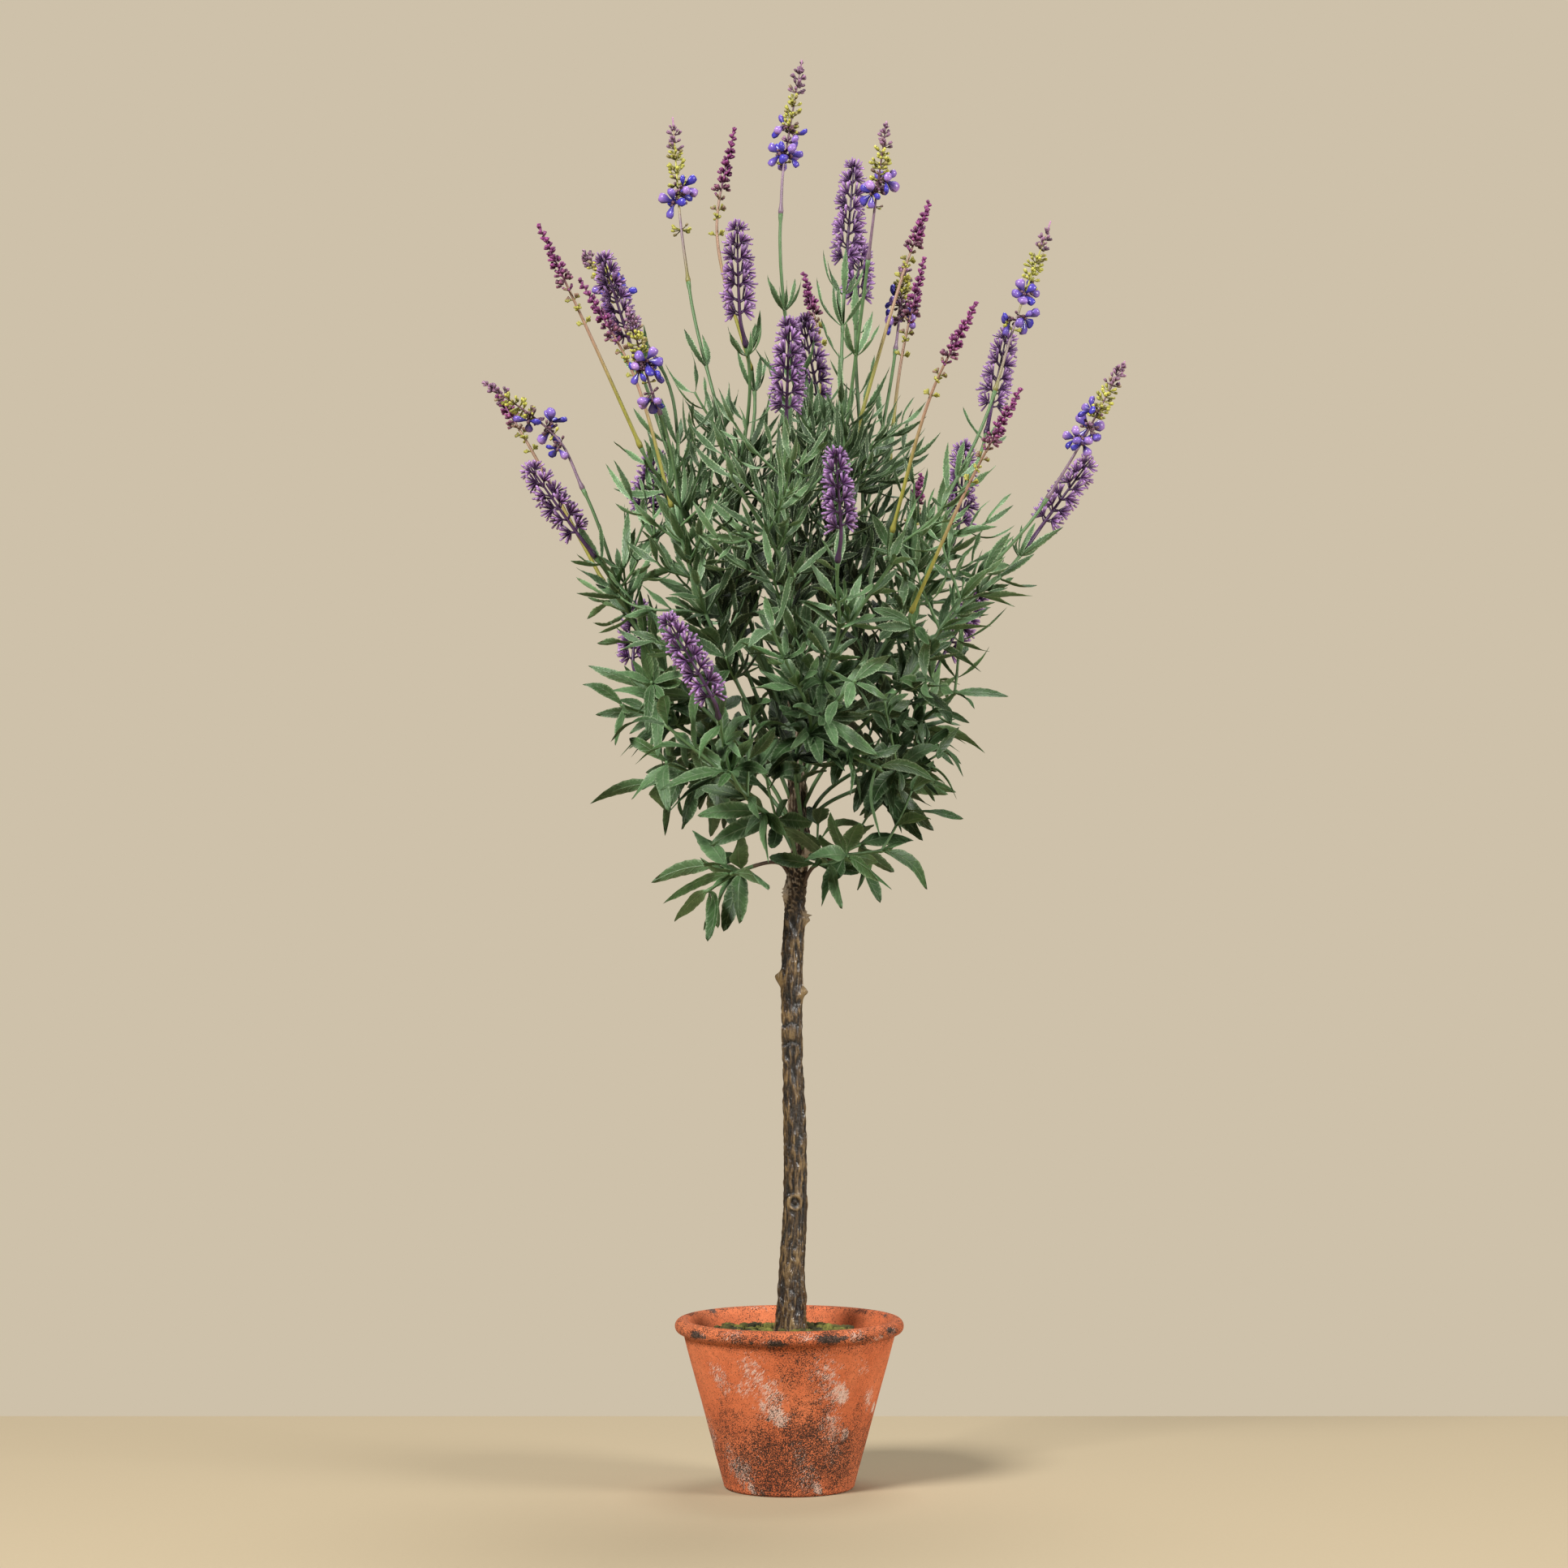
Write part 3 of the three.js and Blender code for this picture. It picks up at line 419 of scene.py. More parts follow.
class Room:
    """The room taken so far, as balls, each with its owner."""

    MOST_BALLS = 90000
    # No leaf or twig meets anything farther than this from its own middle
    SIGHT = 90

    def __init__(self):
        self.balls = np.empty((self.MOST_BALLS, 4))
        self.owners = np.empty(self.MOST_BALLS, int)
        self.count = 0

    def claim(self, owner, balls):
        """Takes room for an owner."""
        last = self.count + len(balls)
        self.balls[self.count : last] = balls
        self.owners[self.count : last] = owner
        self.count = last

    def claim_along(self, owner, route, start, end, radius_at):
        """Claims a stretch of a route, with a ball about every 4 mm."""
        count = max(2, math.ceil((end - start) / 4))
        shares = np.arange(count + 1) / count
        places, _ = route.at(mix(start, end, shares))
        self.claim(owner, np.column_stack([places, [radius_at(share) for share in shares]]))

    def is_free(self, owner, balls, near, slack=1.0):
        """Whether balls miss all others. Those near their own stem may touch their owner."""
        taken, owners = self.balls[: self.count], self.owners[: self.count]
        apart = np.linalg.norm(taken[:, :3] - balls[:, :3].mean(axis=0), axis=1)
        close = apart < self.SIGHT
        taken, same = taken[close], owners[close] == owner
        gaps = np.linalg.norm(taken[:, None, :3] - balls[None, :, :3], axis=2)
        hit = gaps <= (taken[:, None, 3] + balls[None, :, 3]) * slack
        return not (hit & ~(same[:, None] & near[None, :])).any()


# Skins: every stem, leaf, petal and bud is a closed tube between two poles

# The materials of a skin, by their number on its piece
STEM_FINISH = 1
PETAL_FINISH = 2

LEAF_SIDES = 4
LEAF_ROWS = 14

# Half widths along a skin: shares of its length, then shares of its girth
EGG = ([0, 0.167, 0.333, 0.5, 0.667, 0.833, 1], [0, 0.2, 0.4, 0.76, 1, 0.76, 0])
CLUB = ([0, 0.2, 0.6, 0.8, 1], [0, 0.62, 0.85, 1, 0])
FINGER = ([0, 0.2, 0.4, 0.6, 0.8, 1], [0, 0.5, 0.74, 0.92, 1, 0])
BUD = ([0, 0.25, 0.5, 0.75, 1], [0, 0.66, 1, 0.9, 0])
STALK = ([0, 0.01, 0.99, 1], [0, 1, 0.8, 0])
LANCE = (
    [0, 0.06, 0.16, 0.28, 0.42, 0.58, 0.75, 0.9, 1],
    [0, 0.28, 0.52, 0.82, 1, 0.93, 0.66, 0.3, 0],
)
BROAD = (
    [0, 0.05, 0.12, 0.2, 0.3, 0.42, 0.56, 0.7, 0.84, 0.94, 1],
    [0, 0.14, 0.26, 0.54, 0.83, 0.99, 1, 0.93, 0.7, 0.42, 0],
)


@functools.lru_cache(maxsize=None)
def skin_pattern(sides, rows):
    """A unit skin, and its points as x and y round it and t from one pole to the other."""
    bm = bmesh.new()
    bmesh.ops.create_uvsphere(bm, u_segments=sides, v_segments=rows, radius=1)
    for vert in bm.verts:
        row = round(math.acos(min(1, max(-1, -vert.co.z))) / math.pi * rows)
        x, y = vert.co.xy.normalized() if 0 < row < rows else (0, 0)
        vert.co = (x, y, row / rows)
    uv_layer = bm.loops.layers.uv.new("UVMap")
    for face in bm.faces:
        for loop in face.loops:
            loop[uv_layer].uv = (loop.vert.co.x / 2 + 0.5, loop.vert.co.z)
    if sides == LEAF_SIDES:
        # The two edges of a blade are sharp
        for edge in bm.edges:
            edge.smooth = any(abs(vert.co.x) < 0.5 for vert in edge.verts)
    mesh = bpy.data.meshes.new("skin pattern")
    bm.to_mesh(mesh)
    bm.free()
    places = np.array([vert.co for vert in mesh.vertices])
    return mesh, tuple(places.T)


def rounded(t, rows):
    """Moves the rings next to the poles out, so that blunt ends come out round."""
    first = 1 / rows
    return np.interp(t, [0, first, 1 - first, 1], [0, first * 0.45, 1 - first * 0.35, 1])


class Skins:
    """Gathers skins into the mesh of one piece."""

    def __init__(self):
        self.bm = bmesh.new()
        self.places, self.dyes, self.finishes = [], [], []

    def add(self, sides, rows, shape, dye, finish=0):
        """Adds a skin. shape places its points, and dye lists colours with their shares of t."""
        pattern, (x, y, t) = skin_pattern(sides, rows)
        self.bm.from_mesh(pattern)
        self.places.append(shape(x, y, t))
        shares, colours = zip(*dye)
        columns = [np.interp(t, shares, channel) for channel in zip(*colours)]
        self.dyes.append(np.column_stack([*columns, np.ones(len(t))])[:, :4])
        self.finishes.append(np.full(len(pattern.polygons), finish))

    def tube(self, route, radius_at, dye, start, sides=8, step=4, end=None):
        """Adds a flat-ended stem along a route, its radius given by the distance along it."""
        end = route.length if end is None else end
        rows = max(3, math.ceil((end - start) / step) + 2)

        def shape(x, y, t):
            along = np.clip((t * rows - 1) / (rows - 2), 0, 1)
            distance = mix(start, end, along)
            place, heading = route.at(distance)
            across, over = squares_to(heading)
            radius = radius_at(distance)[:, None]
            return place + (across * x[:, None] + over * y[:, None]) * radius

        self.add(sides, rows, shape, dye, STEM_FINISH)

    def pod(
        self, sides, rows, start, tip, girth, profile, dye, flat=1.0, finish=0, front=None, bend=0.0
    ):
        """Adds a closed form such as a petal, its half width from a profile and its tip bent aside.

        flat thins it towards front, and bend is how far the tip goes.
        """
        along = tip - start
        heading = unit(along)
        across, over = square_to(heading)
        if front is not None:
            across = unit(np.cross(heading, front))
            over = np.cross(heading, across)

        def shape(x, y, t):
            radius = girth * np.interp(t, *profile)
            place = start + along * rounded(t, rows)[:, None] + bend * (t * t)[:, None]
            return place + across * (x * radius)[:, None] + over * (y * radius * flat)[:, None]

        self.add(sides, rows, shape, dye, finish)

    def bud(self, foot, tip, girth, dye, profile=BUD):
        self.pod(6, 4, foot, tip, girth, profile, dye)

    def stalk(self, foot, tip, girth, colour, sides=4):
        self.pod(sides, 3, foot, tip, girth, STALK, [(0, colour)], finish=STEM_FINISH)

    def build(self, name, slot, materials, *nodes):
        """Writes the skins as a piece. No tip passes the box of the solids."""
        mesh = bpy.data.meshes.new(name)
        self.bm.to_mesh(mesh)
        self.bm.free()
        low, high = (np.array(corner) / MM for corner in CAD_BOX)
        places = np.clip(np.concatenate(self.places), low + 0.05, high - 0.05)
        mesh.vertices.foreach_set("co", (places * MM).ravel())
        dye = mesh.color_attributes.new("dye", "FLOAT_COLOR", "POINT")
        dye.data.foreach_set("color", np.concatenate(self.dyes).ravel())
        mesh.polygons.foreach_set("material_index", np.concatenate(self.finishes))
        add_piece(name, mesh, slot, materials, *nodes)


def add_piece(name, mesh, slot, materials, *nodes):
    """Makes the object for a mesh, lets it ride on the body and stand for its nodes."""
    mesh.shade_smooth()
    for material in materials:
        mesh.materials.append(material)
    piece = bpy.data.objects.new(name, mesh)
    bpy.context.scene.collection.objects.link(piece)
    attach(piece, "root")
    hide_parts(*nodes)


# Stems and leaves

# The spikes of all sprays, numbered as owners of room, and the room of their buds and open florets
FLOWER_SPIKES = [spike for spray in SPRAYS for spike in spray[3]]
FIRST_SPIKE_OWNER = 100
TRUNK_OWNER = -1
BUD_ROOM = {"comb": 10.5, "bead": 5.2, "blossom": 13}
FLORET_ROOM = {"comb": 12, "bead": 5.5, "blossom": 12}

SEEDS = {"stems": 40, "solid leaves": 100, "more leaves": 200, "twigs": 300, "blades": 400}

# How closely leaves and twigs may pass others, as a share of their own room
SLACK = 0.33
TWIG_SLACK = 0.6
# Where twigs grow round a stem, in quarter turns from its leaf
AXILS = (1, 3, 0)
TWIG_LEAF_SPACING = 13
# Sprays with a woody axis
BROWN_TWIGS = ("leafy_spray_1", "leafy_spray_2")

# The upright axis of the whole head, and that of its rim
HEAD_MIDDLE = 10
RIM_MIDDLE = 6

# Changes with the distance from that axis, in millimetres: distances, then values
IN_CORE = ([50, 100], [1, 0])
AT_RIM = ([70, 120], [0, 1])
# Painted shade on the leaves near the axis of the head, by distance
SHADE_INSIDE = ([45, 112], [1, 0])

# Changes with the height: heights, then values
HEAD_RADIUS = (
    [395, 430, 470, 520, 570, 620, 680, 740, 800, 860],
    [46, 58, 76, 98, 116, 130, 128, 104, 80, 60],
)
LOW_DOWN = ([610, 700], [1, 0])
LOW_IN_CORE = ([680, 735], [1, 0])
CROWDED = ([450, 540, 610, 700], [0.1, 0.85, 0.95, 0.25])
TWIGGY = ([430, 520, 670, 730], [0.22, 0.95, 1.1, 0])
# The next table spreads the painted shade inside the head by height
SHADE_AT = ([440, 510, 690, 790], [0, 1, 1, 0])
TWISTED = ([430, 520], [2.4, 1.5])


def off_axis(place, axis=HEAD_MIDDLE):
    """Distance from the upright axis of the head."""
    return np.hypot(place[0] - axis, place[1])


def core_at(place):
    """1 in the core of the head, 0 at its rim."""
    return np.interp(off_axis(place), *IN_CORE)


def leaf_shape(leaf, tooth_depth, bow, twist, wave):
    """Places the points of a toothed blade with a midrib, folded, bowed, twisted and rippled."""
    across = np.cross(leaf.over, leaf.along)
    # Leaves at the rim of the head are slimmer than those inside it
    rim = np.interp(off_axis(leaf.spine(1), RIM_MIDDLE), *AT_RIM)
    broad = leaf.broad * mix(1, 0.45, rim)
    width = leaf.width * mix(0.74, mix(1, 0.68, rim), leaf.broad)

    def shape(x, y, t):
        row = np.rint(t * LEAF_ROWS)
        tooth = row % 2 == 1
        t = np.where(tooth & (row > 1), t + 0.25 / LEAF_ROWS, t)
        notch = np.where(tooth | (row < mix(2, 5, broad)), 1, 1 - tooth_depth)
        narrow, wide = (np.interp(t, *outline) for outline in (LANCE, BROAD))
        half = width / 2 * mix(narrow, wide, broad) * notch
        turn = twist * t
        side_on = across * np.cos(turn)[:, None] + leaf.over * np.sin(turn)[:, None]
        face_on = leaf.over * np.cos(turn)[:, None] - across * np.sin(turn)[:, None]
        ripple = wave * np.sin(8 * t + 2 * x) * np.abs(x) * np.minimum(1, 2 * t)
        thick = y * mix(0.5, 0.2, t) * np.minimum(1, half)
        lift = thick + (leaf.fold + 0.1) * np.abs(x * half) + ripple
        curl = leaf.over * (bow * leaf.length * np.sin(math.pi * t))[:, None]
        return leaf.spine(t) + side_on * (x * half)[:, None] + face_on * lift[:, None] - curl

    return shape


def leaf_dye_and_shade(leaf, draw, look):
    """Colours from the foot of a leaf to its tip: fresh on narrow leaves, deep on broad ones, and
    darkened by painted shade in the core of the head.

    The last number is how pale the edge is: partly the leaf's own paler edge, partly a painted
    highlight.
    """
    deep = min(1, max(0, draw(-0.3, 0.5) + 0.7 * leaf.broad))
    body = mix(*colours_of(look, "fresh", "deep"), deep)
    # Painted shade: leaves in the core of the head are darkened, where shade falls among the others
    inner_shade = np.interp(off_axis(leaf.spine(0.6)), *SHADE_INSIDE) * np.interp(leaf.base[2], *SHADE_AT)
    shade = draw(0.66, 1.25) * mix(1.1, 0.2, inner_shade)
    # The pale edge is partly the leaf's own colour and partly a painted highlight
    edge_paleness = mix(1, 0.25, leaf.broad)
    return [(t, (*body * shade * tone, edge_paleness)) for t, tone in ((0, 1.2), (0.3, 1), (1, 1.1))]


def solid_leaves(stem, owner, room, draw):
    """The leaves that the spray's solid has, drawn in the same order."""
    pair = 0
    while stem.stop - pair * LEAF_SPACING > stem.leafless:
        distance = stem.stop - pair * LEAF_SPACING
        for side in (pair % 2, pair % 2 + 2):
            for attempt in range(8):
                sway = draw(-0.25, 0.25) * (1 + attempt * 0.4)
                if stem.grow(Leaf(stem, distance, side, sway, draw), owner, room):
                    break
        pair += 1


def more_leaves(stem, owner, room, draw, spacing):
    """Adds leaf pairs between those of the solid, and leaves beside them low down."""
    nodes = []
    count = 0
    while stem.stop - count * spacing > stem.leafless * 0.8:
        distance = stem.stop - count * spacing
        count += 1
        place, _ = stem.route.at(distance)
        height, core = place[2], core_at(place)
        low = max(np.interp(height, *LOW_DOWN), core * np.interp(height, *LOW_IN_CORE))
        solid = any(leaf.distance == distance for leaf in stem.leaves)
        if not solid and draw(0, 1) > mix(0.34, 1, low):
            continue
        side = (count - 1) // 2 % 2 if solid else draw(0, 1)
        nodes.append((distance, side))
        for turn in (side, side + 2):
            taken = any((leaf.distance, leaf.side) == (distance, turn) for leaf in stem.leaves)
            for _ in range(0 if taken else 4):
                size, rise = draw(0.85, 1.1) * mix(1.2, 0.93, low), draw(0, 0.4) * low
                leaf = Leaf(stem, distance, turn, draw(-0.35, 0.35), draw, size, rise)
                if stem.grow(leaf, owner, room, SLACK):
                    break
            crowd = np.interp(height, *CROWDED) * mix(0.32, 1.5, core)
            for lean in (-0.7, 0.7, -1.5, 1.5):
                if draw(0, 1) < crowd:
                    leaf = Leaf(stem, distance, turn, lean, draw, draw(0.5, 0.85), draw(0, 0.45))
                    stem.grow(leaf, owner, room, SLACK)
    return nodes


def twigs_on(stem, nodes, owner, room, draw, share):
    """Leafy twigs in the axils of a stem."""
    twigs = []
    for distance, side in nodes:
        place, heading = stem.route.at(distance)
        across, front = square_to(heading)
        chance = share * np.interp(place[2], *TWIGGY) * mix(0.45, 1.5, core_at(place))
        for turn in AXILS:
            if draw(0, 1) > chance:
                continue
            angle = (side + turn + 0.5 + stem.turn) / STEM_SIDES * math.tau + draw(-0.4, 0.4)
            out = across * math.cos(angle) + front * math.sin(angle)
            reach = draw(28, 64)
            leaving = unit(heading * 0.6 + out * 0.8)
            end = place + unit(heading * 0.5 + out * 0.75 + UP * draw(-0.1, 0.4)) * reach
            if off_axis(end) >= np.interp(end[2], *HEAD_RADIUS):
                continue
            route = Route(curve(place, leaving, end, unit(leaving + UP * 0.6)))
            balls = np.column_stack([route.points, np.full(len(route.points), 1.0)])
            if not room.is_free(owner, balls, route.reached < 14, TWIG_SLACK):
                continue
            room.claim(owner, balls)
            twigs.append(Stem(route, draw(0, 1), radii=(1.1, 0.8)))
    return twigs


def dress_twig(twig, owner, room, draw):
    """Leaf pairs from the end of a twig down."""
    reach = twig.route.length
    pairs = max(1, int((reach - 10) / TWIG_LEAF_SPACING))
    for pair in range(pairs + 1):
        distance = reach - 1 - pair * TWIG_LEAF_SPACING
        size = draw(0.66, 0.95)
        for side in (pair % 2, pair % 2 + 2):
            for _ in range(3):
                leaf = Leaf(twig, distance, side, draw(-0.5, 0.5), draw, size, draw(0, 0.4))
                if twig.grow(leaf, owner, room, SLACK):
                    break


def stem_skin(skins, stem, colours, start, sides):
    """A square-ridged stem, swollen where leaves grow and where a spike plugs in."""
    nodes = np.array([leaf.distance for leaf in stem.leaves] or [-50.0])
    length = stem.route.length

    def radius_at(distance):
        radius = mix(*stem.radii, np.clip(distance / length, 0, 1))
        gap = np.abs(distance[:, None] - nodes[None, :]).min(axis=1)
        radius = radius + 0.4 * np.exp(-((gap / 1.6) ** 2))
        if stem.collar:
            radius = radius + 0.75 * np.exp(-(((distance - length + 1.5) / 2.6) ** 2))
        return radius

    skins.tube(stem.route, radius_at, colours, start, sides, 3.4)


def room_in_head(sprays):
    """The room of the trunk, the stems and the spikes, in which the solids' leaves grow."""
    room = Room()
    for z in range(380, 557, 5):
        x, radius = trunk_at(z)
        room.claim(TRUNK_OWNER, np.array([[x, 0, z, radius + 1]]))
    for owner, stems in enumerate(sprays):
        for stem in stems:
            room.claim_along(owner, stem.route, 0, stem.route.length, lambda _: STEM_RADIUS + 0.5)
    for owner, (kind, *places) in enumerate(FLOWER_SPIKES, FIRST_SPIKE_OWNER):
        route, neck_at = spike_route(*places)
        room.claim_along(owner, route, 0, neck_at, lambda _: 2)
        room.claim_along(
            owner, route, neck_at, route.length, lambda share: BUD_ROOM[kind] * mix(1, 0.4, share)
        )
    for owner, stems, draw in seeded(sprays, SEEDS["solid leaves"]):
        for stem in stems:
            solid_leaves(stem, owner, room, draw)
    return room


def build_sprays(look):
    """Every spray: room first, then further leaves and twigs, then the skins of all of them."""
    sprays = [stems_of(*spray[1:], draw) for _, spray, draw in seeded(SPRAYS, SEEDS["stems"])]
    room = room_in_head(sprays)
    # The open florets and the view of the trunk below the head are kept clear of further leaves
    for owner, (kind, *places) in enumerate(FLOWER_SPIKES, FIRST_SPIKE_OWNER):
        route, neck_at = spike_route(*places)
        room.claim_along(owner, route, neck_at, route.length, lambda _: FLORET_ROOM[kind])
    for z in range(400, 520, 6):
        room.claim(TRUNK_OWNER, np.array([(trunk_at(z)[0], y, z, 6) for y in (-16, -28, -42)]))
    twigs = [[] for _ in sprays]
    for owner, stems, draw in seeded(sprays, SEEDS["more leaves"]):
        for stem in stems:
            nodes = more_leaves(stem, owner, room, draw, look.spacing / MM)
            twigs[owner] += twigs_on(stem, nodes, owner, room, draw, look.twigs)
    for owner, branch, draw in seeded(twigs, SEEDS["twigs"]):
        for twig in branch:
            dress_twig(twig, owner, room, draw)
    materials = [leaf_plastic(), stem_plastic()]
    stem_green, brown = colours_of(look, "stem", "wood")
    green = [(0, stem_green * 0.7), (1, stem_green)]
    wood = [(0, brown), (0.45, brown), (0.6, stem_green)]
    for owner, stems, draw in seeded(sprays, SEEDS["blades"]):
        name = SPRAYS[owner][0]
        skins = Skins()
        for number, stem in enumerate(stems):
            woody = number == 0 and name in BROWN_TWIGS
            stem_skin(skins, stem, wood if woody else green, -6.0, 8)
        for twig in twigs[owner]:
            stem_skin(skins, twig, green[1:], -1.5, 6)
        for stem in stems + twigs[owner]:
            for leaf in stem.leaves:
                bow = mix(draw(0.07, 0.17), draw(-0.17, 0.15), leaf.broad)
                teeth = look.teeth * draw(0.7, 1.3) * mix(1, 0.5, leaf.broad)
                turned = mix(0.8, np.interp(leaf.base[2], *TWISTED), leaf.broad)
                shape = leaf_shape(leaf, teeth, bow, draw(-0.8, 0.8) * turned, draw(0.3, 1.3))
                skins.add(LEAF_SIDES, LEAF_ROWS, shape, leaf_dye_and_shade(leaf, draw, look))
        skins.build(name + "_leaves", "green_leaf", materials, name)


# Flower spikes

# Open flowers on each blossom spike: share of the zone, degrees round from the left over the front,
# rise in degrees, petals
FLOWERS = [
    [(0.14, 185, 10, 4), (0.36, 20, -20, 3), (-0.08, 15, -30, 3), (0.1, 275, 0, 3)],
    [(0.1, 170, 0, 4), (0.35, 200, 0, 3), (0.2, 20, -10, 3)],
    [(0.22, 30, -10, 4), (0.3, 120, 0, 4), (0.18, 185, -10, 4), (-0.1, 60, -50, 5)],
    [(0.17, 45, -12, 4), (0.3, 150, 0, 4), (0.26, 270, 0, 3)],
    [
        (0.13, 40, -12, 4), (0.12, 140, -12, 4), (0.38, 0, -5, 3), (0.33, 180, -25, 3),
        (0.12, 270, 0, 3),
    ],
    [(0.2, 45, -15, 5), (0.34, 160, 0, 4), (0.25, 270, 0, 3)],
    [(0.35, 10, 0, 3), (-0.02, 15, -20, 3), (0.1, 170, 0, 3), (0.25, 240, 0, 3)],
    [(0.24, 85, 0, 5), (0.05, 150, -10, 5), (0.0, 0, -20, 3), (0.3, 260, 0, 3)],
    [
        (0.38, 10, 0, 4), (0.06, 15, -15, 3), (0.05, 105, -20, 4), (0.2, 170, -30, 3),
        (0.2, 280, 0, 3),
    ],
]

# Bud whorls up a blossom spike: share of the zone, number, size, reach, rise, green and mauve
WHORLS = [
    (0.04, 4, 2.9, 4.2, -0.1, 0.3, 0.2), (0.24, 7, 3.1, 4.8, 0.0, 0, 0.2),
    (0.33, 8, 3.2, 5.2, 0.1, 0.1, 0.1), (0.39, 8, 3.2, 5.6, 0.2, 0.3, 0.1),
    (0.45, 8, 3.4, 6.2, 0.25, 1, 0), (0.51, 8, 3.4, 6.2, 0.25, 1, 0),
    (0.57, 8, 3.4, 5.8, 0.3, 1, 0), (0.63, 7, 3.3, 5.2, 0.35, 0.9, 0.5),
    (0.69, 8, 3.3, 5.4, 0.4, 0.4, 0.9), (0.75, 7, 3.2, 4.9, 0.45, 0.1, 1),
    (0.81, 7, 3.0, 4.2, 0.5, 0, 1), (0.86, 6, 2.8, 3.4, 0.6, 0, 1),
    (0.905, 4, 2.2, 2.0, 0.7, 0, 1), (0.945, 3, 1.7, 1.0, 0.8, 0, 1),
]
# The wide whorl under the open flowers on the spikes with bare tips
FOOT_WHORL = (-0.09, 11, 3.3, 6.6, 0.05, 0.8, 0)
# Blossom spikes whose tips bear no buds
BARE_TIPS = (3, 7)
# Turns from an open flower to the bud knots under it
KNOTS_UNDER = (-1.4, -0.8, -0.3, 0.6, 1.1, 1.9)

# A bead spike: how fast its clusters wind round it, the pitch of the clusters, and the share of
# the zone that they start from
WINDING = 1.4
BEAD_PITCH = 4.7
BEADS_FROM = 0.43
# Beads of a cluster: turn, share of the reach and rise
BEAD_CLUSTER = [
    (-0.8, 0.85, -0.1), (-0.35, 1.0, 0.35), (-0.1, 1.05, -0.3), (0.35, 1.0, 0.1),
    (0.85, 0.85, 0.2), (0.0, 0.5, 0.6),
]

# Tones of a bead: shares of its length and factors on its colour
BEAD_TONES = ((0, 0.3), (0.6, 0.9), (1, 1.8))

# A comb spike: the pitch of its levels, and the fans round a level
COMB_PITCH = 9.2
FANS = (-0.6, 0.6, math.pi - 0.6, math.pi + 0.6)
# Fingers of a fan: angle towards the tip of the spike and to the side
FAN = [
    (-0.92, 0.1), (-0.6, -0.25), (-0.3, 0.2), (0.0, -0.1), (0.3, 0.25), (0.6, -0.2), (0.92, 0.05),
]
# Tones up a finger: its foot is darker, partly its own colour and partly painted shade where the
# fingers crowd at the joint
FINGER_TONES = ((0, 0.06), (0.35, 0.3), (0.55, 0.9))
# Size of the florets up the spike
COMB_SCALE = ([0, 0.12, 0.7, 0.9, 1], [0.85, 1, 0.95, 0.78, 0.55])


class Spike:
    """A flower spike: its route, and the zone of it that bears florets."""

    def __init__(self, skins, places):
        self.skins = skins
        self.route, self.neck_at = spike_route(*places)
        self.zone = self.route.length - self.neck_at
        self.neck = self.neck_at / self.route.length

    def axis(self, share, shift=0.0):
        """The place on the stem at a share of the zone."""
        return Axis(self.route, self.neck_at + self.zone * share + shift)

    def stem(self, thick, thin, dye):
        """A round stem with a sheath at its joint."""
        route, neck_at = self.route, self.neck_at

        def radius_at(distance):
            sheath = 0.75 * np.exp(-(((distance - 1) / 3.2) ** 2))
            radii = [thick, mix(thick, thin, 0.6), thin * 0.5]
            return np.interp(distance, [0, neck_at, route.length], radii) + sheath

        self.skins.tube(route, radius_at, dye, -1.5, step=3, end=route.length - 1.2)

    def tip(self, length, girth, profile, dye, sides=6, rows=4):
        """The last closed form at the tip."""
        top, heading = self.route.at(self.route.length)
        start, end = top - heading * length, top - heading * 0.4
        self.skins.pod(sides, rows, start, end, girth, profile, dye)


class Axis:
    """A place on a spike, with directions out of it at any turn."""

    def __init__(self, route, distance):
        self.place, self.heading = route.at(distance)
        self.across, self.front = square_to(self.heading)

    def out(self, turn, rise=0.0):
        """A direction square to the spike, raised by an angle towards its tip."""
        level = self.across * math.cos(turn) + self.front * math.sin(turn)
        return level * math.cos(rise) + self.heading * math.sin(rise)


def bud_whorl(skins, axis, count, size, reach, rise, turn, dyes, draw):
    """Buds on short stalks, in two bunches on opposite sides of the stem."""
    for i in range(count):
        angle = turn + i % 2 * math.pi + draw(-0.85, 0.85)
        out = axis.out(angle, rise + draw(-0.35, 0.35))
        knee = axis.place + out * reach * draw(0.7, 1.2)
        length = size * draw(0.8, 1.15)
        dye = dyes[int(draw(0, len(dyes)))]
        skins.stalk(axis.place + out * 0.4, knee + out * 0.3, 0.42, dye * 0.7)
        tip = knee + unit(out + axis.heading * 0.35) * length
        skins.bud(knee, tip, length * 0.34, fade(dye, 0.6, 1, 1.25))


